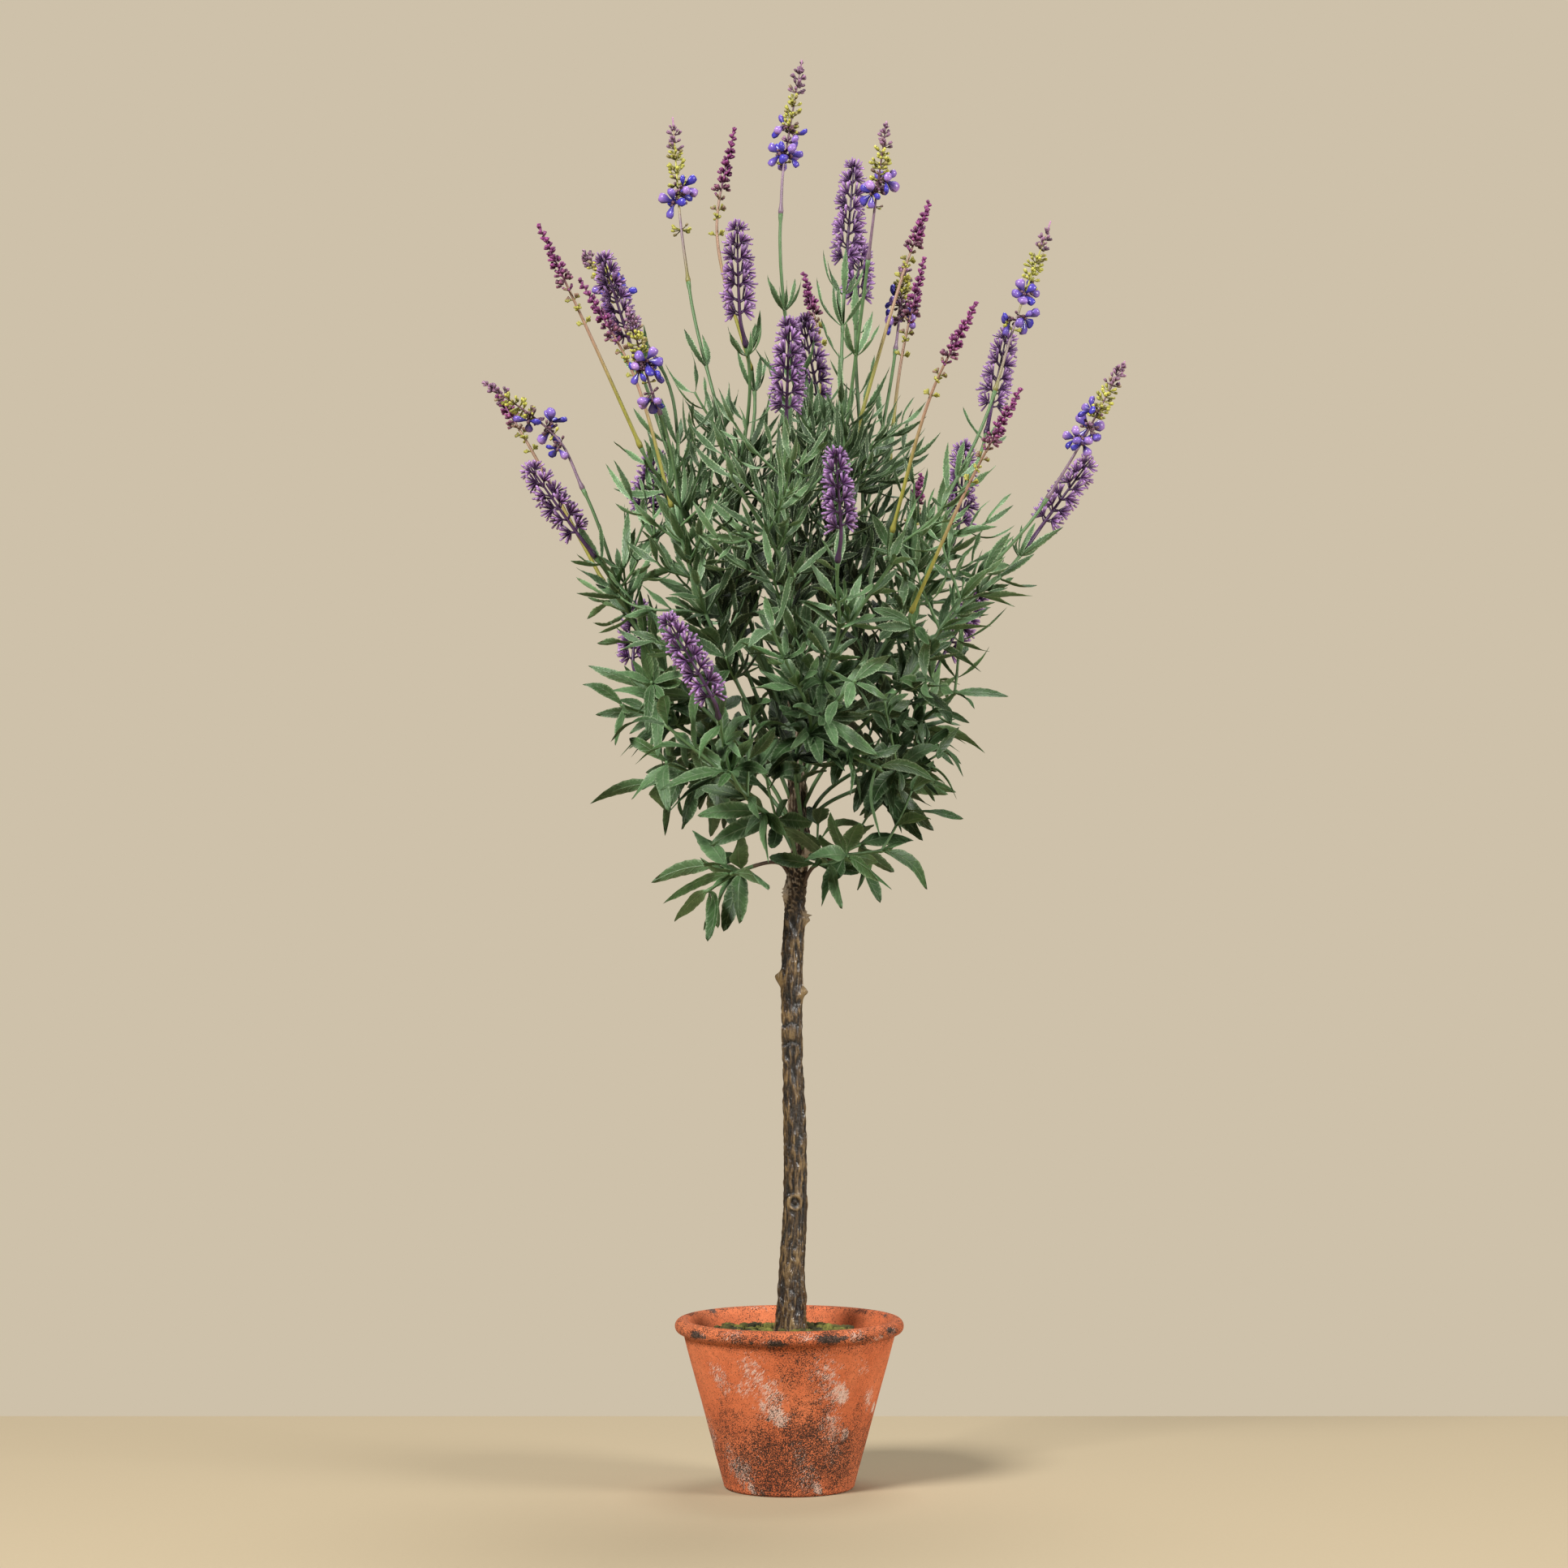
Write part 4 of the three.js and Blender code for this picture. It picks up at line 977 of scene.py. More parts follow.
def blossom(skins, axis, turn, rise, petals, look, draw):
    """An open flower on a stalk: a brown cup, and petals that fan out of it like drops."""
    brown, deep, light = colours_of(look, "cup", "petal", "petal_end")
    size = look.petal_length / MM
    out = axis.out(turn, rise)
    cup = axis.place + out * draw(3.6, 5.2)
    skins.stalk(axis.place, cup, 0.6, brown, sides=5)
    skins.bud(cup - out * 1.4, cup + out * 2.4, 1.4, fade(brown, 0.8, 1.3))
    side = unit(np.cross(out, axis.heading))
    over = np.cross(side, out)
    first = draw(0, 1)
    for i in range(petals):
        angle = (i + first + draw(-0.22, 0.22)) / petals * math.tau
        spread = draw(0.7, 1.25)
        aside = side * math.cos(angle) + over * math.sin(angle)
        way = unit(out * math.cos(spread) + aside * math.sin(spread))
        reach = size * draw(0.82, 1.12)
        # Some petals fade to lilac, and the others curl
        lilac = max(0, draw(-0.4, 1))
        ending = mix(deep * 1.35, light, lilac)
        middle = mix(deep * 0.85, ending, 0.3)
        # Painted shade: each petal is darkened at its foot, inside the cup
        dye = [(0, deep * 0.3), (0.3, deep * 0.5), (0.5, middle), (0.8, ending), (1, ending * 0.8)]
        girth = reach * mix(draw(0.24, 0.29), 0.33, lilac)
        curl = -out * reach * draw(-0.1, 0.4) * (1 - lilac)
        skins.pod(
            8, 6, cup + way * 0.5, cup + way * reach, girth, EGG, dye,
            flat=mix(0.6, 0.88, lilac), finish=PETAL_FINISH, front=out, bend=curl,
        )


def blossom_spike(skins, places, look, draw, number):
    """Open flowers over bud knots at the foot, then green buds, then mauve ones to the tip."""
    spike = Spike(skins, places)
    mauve, green, brown, pale, olive = colours_of(
        look, "mauve", "green_bud", "cup", "tip_bud", "olive"
    )
    bare = number in BARE_TIPS
    foot, upper = (olive * 0.8, green * 1.15) if bare else (mauve * 0.75, brown * 1.2)
    neck = spike.neck
    spike.stem(1.12, 0.7, [
        (0, foot), (0.5 * neck, mix(foot, mauve, 0.5)), (neck, mauve),
        (mix(neck, 1, 0.25), upper), (mix(neck, 1, 0.7), upper), (1, pale * 1.5),
    ])
    for level, degrees, rise, petals in FLOWERS[number]:
        axis = spike.axis(level)
        turn = math.radians(degrees)
        blossom(skins, axis, turn, math.radians(rise), petals, look, draw)
        for lean in KNOTS_UNDER:
            out = axis.out(turn + lean, draw(-0.5, 0.6))
            knee = axis.place + out * draw(2.4, 5)
            skins.stalk(axis.place, knee, 0.42, brown * 0.8)
            skins.bud(knee - out * 0.3, knee + out * 3, 1.1, fade(brown, 0.7, 1.5))
    whorls = [FOOT_WHORL, *WHORLS[1:-2]] if bare else WHORLS
    for step, (level, count, size, reach, rise, greenness, mauveness) in enumerate(whorls):
        axis = spike.axis(level + draw(-0.012, 0.012))
        dyes = [brown, brown * 1.2]
        if greenness:
            dyes = [green * draw(0.6, 1), green, green * 1.25, mix(brown, green, 0.45 * greenness)]
        if mauveness > greenness:
            dyes = [pale, pale * 1.25, pale * 0.6, mix(pale, green, greenness)]
        count += int(draw(-1, 2))
        bud_whorl(skins, axis, count, size, reach * 0.7, rise, step * 1.25, dyes, draw)
    spike.tip(12 if bare else 6, 0.75, BUD, [(0, pale), (0.4, pale * 1.6), (1, pale * 2.2)])


def bead_spike(skins, places, look, draw, _):
    """Pairs of yellow buds at the foot, then plum beads that close up to the tip."""
    spike = Spike(skins, places)
    plum, olive, tan, green = colours_of(look, "bead", "olive", "tan", "green_bud")
    neck = spike.neck
    spike.stem(1.35, 0.85, [
        (0, olive), (0.4 * neck, olive * 1.1), (neck * 0.9, tan),
        (mix(neck, 1, 0.35), tan * 0.8), (mix(neck, 1, 0.5), plum * 0.8), (1, plum),
    ])
    turn = draw(-0.3, 0.3)
    # Whorls of open buds stand apart below the beads
    open_whorls = (
        (0.0, olive * 1.4, green), (0.15, olive * 1.4, green), (0.24, olive, tan * 0.7),
        (0.34, tan * 0.6, plum),
    )
    for step, (level, *dyes) in enumerate(open_whorls):
        axis = spike.axis(level + draw(-0.015, 0.015))
        for side in (0, math.pi):
            way = turn + step * WINDING + side
            stalk = axis.out(way, 0.5) * 2.6
            skins.stalk(axis.place, axis.place + stalk, 0.6, dyes[0] * 0.7)
            for lean in (-0.9, -0.3, 0.3, 0.9):
                out = axis.out(way + lean, 0.4 - lean * 0.5)
                dye = dyes[int(draw(0, 2))]
                start = axis.place + stalk * 0.9
                tip = start + out * draw(3.0, 4.4)
                skins.bud(start, tip, 1.0, fade(dye, 0.6, 1.1), CLUB)
    levels = max(8, round(spike.zone * (1 - BEADS_FROM) / BEAD_PITCH))
    for level in range(levels):
        along = level / (levels - 1)
        axis = spike.axis(mix(BEADS_FROM, 0.975, along**0.95))
        size = mix(3.1, 2.1, along**1.2)
        reach = mix(4.3, 1.3, along**0.8)
        body = mix(tan * 0.4, plum, min(1, 0.55 + along * 2))
        for side in (0, 1):
            for lean, out_by, up_by in BEAD_CLUSTER:
                angle = turn + level * WINDING + side * math.pi + lean + draw(-0.15, 0.15)
                out = axis.out(angle, 0.1 + 0.6 * along + up_by + draw(-0.15, 0.15))
                lift = axis.heading * (side * 1.6 - 0.8)
                knee = axis.place + out * reach * out_by * draw(0.85, 1.1) + lift
                shade = draw(0.5, 1.3)
                dye = [(t, body * tone * shade) for t, tone in BEAD_TONES]
                tip = knee + unit(out + axis.heading * 0.6) * size * draw(0.85, 1.1)
                skins.bud(knee - out * 1.3, tip, size * 0.37, dye)
    spike.tip(4.5, 0.9, BUD, fade(plum, 1, 1.5))


def comb_spike(skins, places, look, draw, _):
    """Levels of four fans, each of seven fingers, that turn up towards the tip."""
    spike = Spike(skins, places)
    purple, rim, dark = colours_of(look, "comb", "comb_end", "comb_stem")
    spike.stem(1.6, 1.0, [(0, dark * 1.3), (0.12, dark), (0.3, dark * 1.8), (1, dark)])
    turn = draw(-0.3, 0.3)
    size = look.finger_length / MM
    levels = max(6, round(spike.zone / COMB_PITCH))
    for level in range(levels):
        along = (level + 0.4) / levels
        scale = np.interp(along, *COMB_SCALE)
        rise = mix(0.3, 0.95, along**2)
        for side in FANS:
            axis = spike.axis(along * 0.97, draw(-2.4, 0.6))
            angle = turn + (0.2 if level % 2 else -0.2) + side + draw(-0.15, 0.15)
            out = axis.out(angle, rise + draw(-0.12, 0.12))
            joint = axis.place + axis.out(angle, rise + 0.2) * 4.9 * scale
            tint = draw(0.75, 1.25)
            skins.stalk(axis.place, joint, 0.75, dark * 1.4, sides=5)
            aside = unit(np.cross(out, axis.heading))
            over = np.cross(aside, out)
            for up, beside in FAN:
                up, beside = up + draw(-0.1, 0.1), beside + draw(-0.12, 0.12)
                way = unit(out + over * math.tan(up) + aside * math.tan(beside))
                reach = size * scale * draw(0.85, 1.15)
                shade = tint * draw(0.7, 1.2)
                dye = [(t, purple * tone * shade) for t, tone in FINGER_TONES]
                # The pale ends are partly the florets' own colour and partly a painted highlight
                dye += [(0.78, rim * 1.1 * shade), (1, rim * 0.45)]
                skins.pod(5, 5, joint - way * 0.8, joint + way * reach, 0.84 * scale, FINGER, dye)
    spike.tip(6, 0.7, CLUB, [(0, purple), (1, rim)], 5, 5)


# Kinds of spike: how they are built, the slot of the solids, and the seed before the first spike
KINDS = {
    "comb": (comb_spike, "mauve_floret", 660),
    "bead": (bead_spike, "plum_bead", 660),
    "blossom": (blossom_spike, "violet_blossom", 780),
}


def build_spikes(kind, look):
    """Every spike of one kind, numbered in the order of the sprays."""
    grow, slot, seed = KINDS[kind]
    materials = [flower_plastic(kind), spike_stem_plastic(kind)]
    if kind == "blossom":
        materials.append(petal_plastic())
    flowers = [places for name, *places in FLOWER_SPIKES if name == kind]
    for number, places in enumerate(flowers, 1):
        skins = Skins()
        grow(skins, places, look, draws_from(seed + number), number - 1)
        skins.build(f"{kind}_{number}", slot, materials, f"{kind}_spike_{number}")


# Pot

LIP_MIDDLE = (74.7, 112.7)
LIP_RADII = (5.3, 5.2)
FOOT_RADII = (2.6, 3)
BORE_TOP = 113
# How the turned wall wavers: waves to a metre, and their height in millimetres
WAVERS = ((28, 0.22), (110, 0.06))

# Wear on the side that faces the viewer: sideways place, height, radius and strength
SOOT = [
    (10, 30, 34, 1.0), (-14, 26, 30, 1.0), (34, 26, 26, 0.95), (0, 44, 16, 0.85), (2, 88, 16, 0.6),
    (20, 80, 14, 0.6), (-44, 74, 12, 0.4), (-44, 44, 20, 0.7), (-30, 22, 22, 0.95),
    (28, 112, 16, 1), (-8, 110, 14, 1), (-64, 112, 12, 1), (72, 113, 12, 1), (-34, 111, 18, 0.8),
    (50, 111, 16, 0.8), (-20, 4, 16, 0.9), (8, 100, 26, 0.6), (48, 60, 10, 0.5), (-10, 68, 8, 0.5),
]
LIME = [
    (-48, 82, 12, 0.55), (-24, 88, 15, 0.6), (-14, 74, 13, 0.65), (-8, 58, 9, 0.95),
    (-6, 54, 4, 1.4), (26, 86, 16, 0.6), (35, 74, 8, 0.9), (37, 70, 4, 1.2), (59, 58, 5, 1.4),
    (56, 67, 9, 0.6), (39, 44, 4, 1.6), (30, 48, 14, 0.65), (-18, 66, 13, 0.55), (-55, 32, 4, 1.3),
    (-54, 40, 10, 0.6), (-27, 6, 4, 1.5), (-33, 16, 13, 0.75), (20, 6, 4, 1.5), (12, 16, 12, 0.6),
    (8, 28, 12, 0.5), (30, 30, 12, 0.5), (-40, 26, 10, 0.55), (-24, 30, 8, 0.4), (-32, 76, 9, 0.55),
    (50, 90, 8, 0.45), (-62, 112, 10, 0.6), (-40, 114, 14, 0.55), (-14, 110, 10, 0.55),
    (14, 114, 9, 0.55), (46, 113, 12, 0.6), (62, 110, 8, 0.7), (72, 113, 9, 0.7),
]
GREY = [
    (-64, 112, 6, 1.2), (-59, 111, 4, 1), (-8, 110, 6, 1.1), (-2, 110, 3, 0.9), (24, 112, 6, 1.2),
    (31, 112, 7, 1.2), (38, 113, 4, 1), (70, 114, 5, 1.2), (73, 112, 4, 1), (-26, 110, 3, 0.8),
    (50, 111, 3, 0.8),
]
# How far the marks of each kind lean on the wall
LEAN = (0, 0.22, 0)
# Soot all round: heights up the pot, then strengths
SOOT_BANDS = (
    [0, 3, 10, 30, 45, 58, 64, 100, 104, 112, 118],
    [0.85, 0.52, 0.64, 0.8, 0.66, 0.3, 0.14, 0.2, 0.5, 0.62, 0.6],
)


def body_at(z):
    """Radius of the pot's body at a height."""
    return mix(BASE_RADIUS, BODY_TOP_RADIUS, z / BODY_TOP)


def arc(middle, radii, start, stop, count):
    """Points of an arc in the pot's section, from one angle to another in degrees."""
    return [
        (middle[0] + radii[0] * math.cos(a), middle[1] + radii[1] * math.sin(a))
        for a in np.radians(np.linspace(start, stop, count))
    ]


def pot_profile():
    """Points of the pot's section: foot, body, cove, lip, bore and drain hole."""
    foot_radius, foot_height = FOOT_RADII
    cove = BODY_TOP + 2
    foot = arc((BASE_RADIUS - foot_radius, foot_height), FOOT_RADII, -90, -10, 5)
    body = [
        (mix(BASE_RADIUS, BODY_TOP_RADIUS, s), mix(foot_height, cove, s))
        for s in np.linspace(0, 1, 46)
    ]
    under_lip = [(BODY_TOP_RADIUS + 0.5, cove + 1.1)]
    lip = arc(LIP_MIDDLE, LIP_RADII, -72, 130, 24)
    bore = [
        (mix(BORE_RADIUS, FLOOR_RADIUS, s), mix(BORE_TOP, FLOOR_THICKNESS, s))
        for s in np.linspace(0, 1, 24)
    ]
    drain = [(DRAIN_RADIUS, FLOOR_THICKNESS), (DRAIN_RADIUS, 0)]
    return foot + body + under_lip + lip + bore + drain


def build_pot(look):
    """The pot, spun from its section, a little wavy, with its wear."""
    bm = bmesh.new()
    verts = [bm.verts.new((radius * MM, 0, height * MM)) for radius, height in pot_profile()]
    edges = [bm.edges.new(pair) for pair in zip(verts, verts[1:] + verts[:1])]
    bmesh.ops.spin(
        bm, geom=verts + edges, cent=(0, 0, 0), axis=(0, 0, 1), angle=math.tau, steps=look.steps,
        use_merge=True,
    )
    bmesh.ops.remove_doubles(bm, verts=bm.verts, dist=1e-6)
    bmesh.ops.recalc_face_normals(bm, faces=bm.faces)
    inset = WAVERS[0][1]
    for vert in bm.verts:
        radius = vert.co.xy.length
        if radius > DRAIN_RADIUS * 1.1 * MM:
            bump = sum(noise.noise(vert.co * waves) * depth for waves, depth in WAVERS) - inset
            vert.co.xy *= 1 + bump * MM / radius
    mesh = bpy.data.meshes.new("pot")
    bm.to_mesh(mesh)
    bm.free()
    paint_wear(mesh)
    add_piece("terracotta_pot", mesh, "terracotta", [fired_clay(look)], "pot")


def paint_wear(mesh):
    """Stores how much soot, lime and bare grey each point of the pot shows."""
    draw = draws_from(7)
    spots = []
    for channel, marks in enumerate((SOOT, LIME, GREY)):
        for x, z, radius, strength in marks:
            wall = RIM_RADIUS if z > BODY_TOP else body_at(z)
            angle = math.asin(max(-0.98, min(0.98, x / wall))) - math.pi / 2
            spots.append((channel, angle, z, radius, strength))
            # The back bears much the same marks
            angle += math.pi + draw(-0.5, 0.5)
            spots.append((channel, angle, z + draw(-6, 6), radius * draw(0.8, 1.2), strength))
    values = np.zeros((len(mesh.vertices), 4))
    values[:, 3] = 1
    for vert, value in zip(mesh.vertices, values):
        x, y, z = vert.co / MM
        radius = math.hypot(x, y)
        angle = math.atan2(y, x)
        wobble = noise.noise(vert.co * 80) * 0.5 + noise.noise(vert.co * 230) * 0.35
        if radius <= min(body_at(z) - 3, 71):
            # The inner wall
            value[0] = 0.26 + wobble * 0.5
            continue
        value[0] = np.interp(z, *SOOT_BANDS)
        for channel, at, height, size, strength in spots:
            turn, rise = turn_from(at, angle), z - height
            # Marks on the rim are wide and low, and the strokes on the wall lean
            if height > BODY_TOP:
                across, up = turn * radius, 2.2 * rise
            else:
                across, up = turn * radius + LEAN[channel] * rise, 0.8 * rise
            gap = math.hypot(across, up) / size * (1 + wobble * 0.9)
            value[channel] = max(value[channel], strength * max(0, 1.15 - gap**2 * 0.9))
    layer = mesh.color_attributes.new("wear", "FLOAT_COLOR", "POINT")
    layer.data.foreach_set("color", np.clip(values, 0, 1).ravel())


# Filling

SOLID_BORE_TOP = 110
BED_RINGS = 18
FRONDS = 9


def ring_place(radius, angle, height):
    """A place round the trunk."""
    return np.array([radius * math.cos(angle), radius * math.sin(angle), height])


def bore_at(z):
    """Radius of the solid pot's bore at a height."""
    share = (z - FLOOR_THICKNESS) / (SOLID_BORE_TOP - FLOOR_THICKNESS)
    return mix(FLOOR_RADIUS, BORE_RADIUS, share)


def moss_edge(angle):
    """How far the moss reaches from the trunk."""
    ragged = noise.noise((math.cos(angle) * 2.3, math.sin(angle) * 2.3, 4.0))
    return 45 + 8 * math.cos(2 * angle) - 9 * math.cos(angle) + 5 * ragged


def soil_skins(look):
    """The bed of peat and loose crumbs on it."""
    skins = Skins()
    low = BALLAST_TOP + CLEARANCE
    wall = bore_at(low) - CLEARANCE

    def bed(x, y, t):
        level = SOIL_TOP - 0.9
        edge = np.array([low, low, SOIL_TOP - 2.6, SOIL_TOP - 1.8, *[level] * BED_RINGS, level])
        radii = [0, wall, wall + 2.4, wall - 1, *np.linspace(wall - 4, 12, BED_RINGS), 0]
        rows = len(edge) - 1
        height, radius = (np.interp(t * rows, np.arange(rows + 1), v) for v in (edge, radii))
        place = np.column_stack([x * radius, y * radius, height])
        lumps = [
            noise.noise(Vector(p) * 0.16) * 1.1 + noise.noise(Vector(p) * 0.5) * 0.5 for p in place
        ]
        place[:, 2] += np.where(height > SOIL_TOP - 3, np.minimum(lumps, 0.9), 0)
        return place

    peat = np.array(look.peat)
    skins.add(72, BED_RINGS + 4, bed, [(0, peat)])
    draw = draws_from(5)
    for _ in range(look.crumbs):
        angle, radius = draw(0, math.tau), wall * math.sqrt(draw(0.03, 1))
        size = mix(0.7, 2.6, draw(0, 1) ** 2)
        foot = ring_place(radius, angle, SOIL_TOP - 1.6)
        lean = unit(np.array([draw(-1, 1), draw(-1, 1), draw(0.3, 1)]))
        girth = size * draw(0.4, 0.7)
        dye = [(0, peat * draw(0.5, 2.2))]
        skins.pod(5, 3, foot, foot + lean * size * 1.6, girth, BUD, dye, front=(0.3, 1, 0.2))
    return skins


def moss_skins(look):
    """Tufts of moss, each with loose fronds."""
    skins = Skins()
    fresh, dull = colours_of(look, "moss_fresh", "moss_dull")
    draw = draws_from(11)
    for _ in range(look.tufts):
        angle = draw(0, math.tau)
        radius = mix(15, moss_edge(angle), math.sqrt(draw(0, 1)))
        middle = ring_place(radius, angle, SOIL_TOP + 0.6)
        size = draw(2.6, 5.2)
        rise = draw(5.5, 10.5) * mix(1.15, 0.75, radius / 66)
        tone = mix(dull, fresh, draw(0, 1)) * draw(0.7, 1.2)
        top = middle + (0, 0, rise)
        dye = fade(tone, 0.3, 0.7)
        skins.pod(7, 4, middle - (0, 0, 2), top, size, BUD, dye, front=(0, 1, 0))
        for _ in range(FRONDS):
            way = unit(np.array([draw(-1, 1), draw(-1, 1), draw(0.2, 1.3)]))
            start = middle + way * (size * 0.7, size * 0.7, rise * 0.75)
            tip = start + way * draw(1.5, 3.2)
            girth = draw(0.3, 0.55)
            dye = fade(tone, 0.4, draw(0.6, 1.7))
            skins.pod(3, 3, start, tip, girth, BUD, dye, front=(0.2, 1, 0.1))
    return skins


def build_filling(look):
    """The plaster, which stays as its solid is, and the soil and moss over it."""
    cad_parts["ballast"].data.materials.clear()
    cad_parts["ballast"].data.materials.append(cast_plaster())
    soil_skins(look).build("soil_bed", "soil", [loose_peat()], "soil")
    moss_skins(look).build("moss_mat", "moss", [dyed_moss()], "moss")


# Trunk

# Knots: height, degrees round the trunk, width and how far they stand out
KNOTS = [
    (397, 0, 7, 3.2), (356, 180, 6, 2.6), (346, 0, 6, 2.4), (415, 185, 8, 1.8), (447, -28, 6, 6),
]
EYE_KNOT = (199, 268, 9, 1.6)
# Two cracks across the left of the front, with a smooth swelling between them: height and depth
CRACKS = ((309.5, 1.5), (322.5, 1.6))
SWELLING = 316
# The foot flares up to here, and the bark is rough above here
FLARE_FOOT, FLARE_TOP = 101, 123
ROUGH_BARK = ([395, 430], [0, 1])


def ridge(gap, width):
    """A rounded ridge, 1 where the gap is 0."""
    return math.exp(-((gap / width) ** 2))


def bark_relief(angle, z, radius):
    """How far the bark stands out."""
    x, y = radius * math.cos(angle), radius * math.sin(angle)
    rough = np.interp(z, *ROUGH_BARK)
    drift = noise.noise((x / 4, y / 4, z / 10)) * 2.2
    twist = ((x + drift) / 2.7, (y - drift) / 2.7, z / mix(22, 9, rough))
    strand = 1 - abs(noise.noise(twist)) * 3.2
    lump = noise.noise((x / 3 + 9, y / 3, z / mix(6.5, 3.4, rough)))
    fine = noise.noise((x / 1.1, y / 1.1 + 9, z / mix(4.5, 2, rough)))
    swell = noise.noise((x / 7, y / 7, z / 34 + 5))
    relief = 0.8 * strand + 0.6 * lump + 0.26 * fine + 0.5 * swell
    flare = max(0, 1 - (z - FLARE_FOOT) / (FLARE_TOP - FLARE_FOOT))
    relief += flare * 1.5 * max(0, math.sin(angle * 4 + 0.8)) ** 2
    for height, degrees, width, stand in KNOTS:
        turn = turn_from(math.radians(degrees), angle)
        gap = math.hypot(turn * radius, (z - height) * (0.7 if z < height else 1.3))
        relief += stand * 1.2 * ridge(gap, width * 0.6) * (1 + 0.5 * lump + 0.4 * fine)
    # The eye of the pruning scar has a ring and a pip, and a seam runs down from it
    height, degrees, width, stand = EYE_KNOT
    aside = turn_from(math.radians(degrees), angle) * radius
    gap = math.hypot(aside, (z - height) * 0.92)
    if gap < width:
        relief *= min(1, gap / 6)
        relief += stand * ridge(gap - 4.3, 1.1) + 0.9 * ridge(gap, 1.1) - ridge(gap - 2.4, 0.9)
    if 0 < height - z < 16:
        relief -= 0.9 * ridge(aside, 0.8) * (1 - (height - z) / 16)
    left = max(0, math.cos(angle + 2.2)) ** 0.5
    relief = mix(relief, 0.9, left * 0.8 * math.exp(-(((z - SWELLING) / 4.5) ** 4)))
    for crack, depth in CRACKS:
        relief -= depth * left * ridge(z - crack - 1.2 * math.sin(angle * 3), 0.8)
    return relief


def build_trunk(look):
    """The trunk, with its furrows and knots."""
    skins = Skins()
    foot, top = TRUNK[0, 0], TRUNK[-1, 0]

    def shape(x, y, t):
        z = np.interp(t * look.rings, [1, look.rings - 1], [foot, top])
        middle, radius = trunk_at(z)
        angle = np.arctan2(y, x)
        relief = np.array([bark_relief(a, h, r) for a, h, r in zip(angle, z, radius)])
        relief[z < FLARE_FOOT] = -0.5
        shape.relief = np.where(x * x + y * y > 0.5, relief, 0)
        reach = radius + shape.relief - 0.35
        return np.column_stack([middle + x * reach, y * reach, z])

    skins.add(look.sides, look.rings, shape, [(0, (1, 1, 1))])
    # The dye holds how high a point is in its furrow, which the material turns into a darker furrow
    # colour, partly as painted shade, and how dull the bark is there
    dye, height = skins.dyes[0], skins.places[0][:, 2]
    dye[:, 0] = np.clip(shape.relief / 2.4 + 0.36, 0, 1)
    dye[:, 1] = np.interp(height, [385, 425], [0, 1])
    dye[:, 2] = 0
    skins.build("trunk_bark", "bark", [varnished_bark(look)], "trunk")


# Materials

# Sockets of a Mix node that mixes colours, and its settings
SHARE, BELOW, ABOVE = 0, 6, 7
OVER = {"data_type": "RGBA"}
TIMES = {"data_type": "RGBA", "blend_type": "MULTIPLY"}
# Settings of Math nodes
PRODUCT = {"operation": "MULTIPLY"}
# The first input times the second, plus the third
SUM = {"operation": "MULTIPLY_ADD"}


def add_node(tree, kind, inputs, **settings):
    """Adds a shader node with its settings and links.

    Inputs are a list in the node's own order or a dictionary by socket. Each is a value, an output,
    or a node whose first output is meant.
    """
    node = tree.nodes.new("ShaderNode" + kind)
    for name, value in settings.items():
        setattr(node, name, value)
    for socket, value in inputs.items() if isinstance(inputs, dict) else enumerate(inputs):
        if isinstance(value, bpy.types.Node):
            value = next(output for output in value.outputs if output.enabled)
        if isinstance(value, bpy.types.NodeSocket):
            tree.links.new(value, node.inputs[socket])
        else:
            node.inputs[socket].default_value = value
    return node


def grain(size, detail=3, roughness=0.6, **more):
    """Inputs of a noise whose blots are a size in millimetres apart."""
    return {"Scale": 1 / (size * MM), "Detail": detail, "Roughness": roughness, **more}


def open_tree(owner):
    """Empties the node tree of a material or a world, and gives add_node for that tree."""
    owner.use_nodes = True
    owner.node_tree.nodes.clear()
    return functools.partial(add_node, owner.node_tree)


def new_material(name):
    """A material, what adds its nodes, and the object's own coordinates in it."""
    material = bpy.data.materials.new(name)
    add = open_tree(material)
    return material, add, add("TexCoord", {}).outputs["Object"]


def close_material(add, inputs, height=None, depth=0.1):
    """Ends a material in its shader. depth is the relief of the height pattern in millimetres."""
    if height is not None:
        bump = add("Bump", {"Height": height, "Distance": depth * MM, "Strength": 1})
        inputs = {**inputs, "Normal": bump}
    shader = add("BsdfPrincipled", inputs)
    add("OutputMaterial", {"Surface": shader})


def mottled(name, noise_inputs, tones, shader, depth, stretch=1.0):
    """A dyed material that noise mottles from one tone to another, and roughens."""
    material, add, place = new_material(name)
    drawn = add("Mapping", {"Vector": place, "Scale": (1, 1, stretch)})
    mist = add("TexNoise", {"Vector": drawn, **noise_inputs})
    tone = add("MapRange", [mist, 0.3, 0.7, *tones])
    dye = add("Attribute", {}, attribute_name="dye")
    colour = add("Mix", {SHARE: 1, BELOW: dye, ABOVE: tone}, **TIMES)
    close_material(add, {"Base Color": colour, **shader}, mist, depth)
    return material


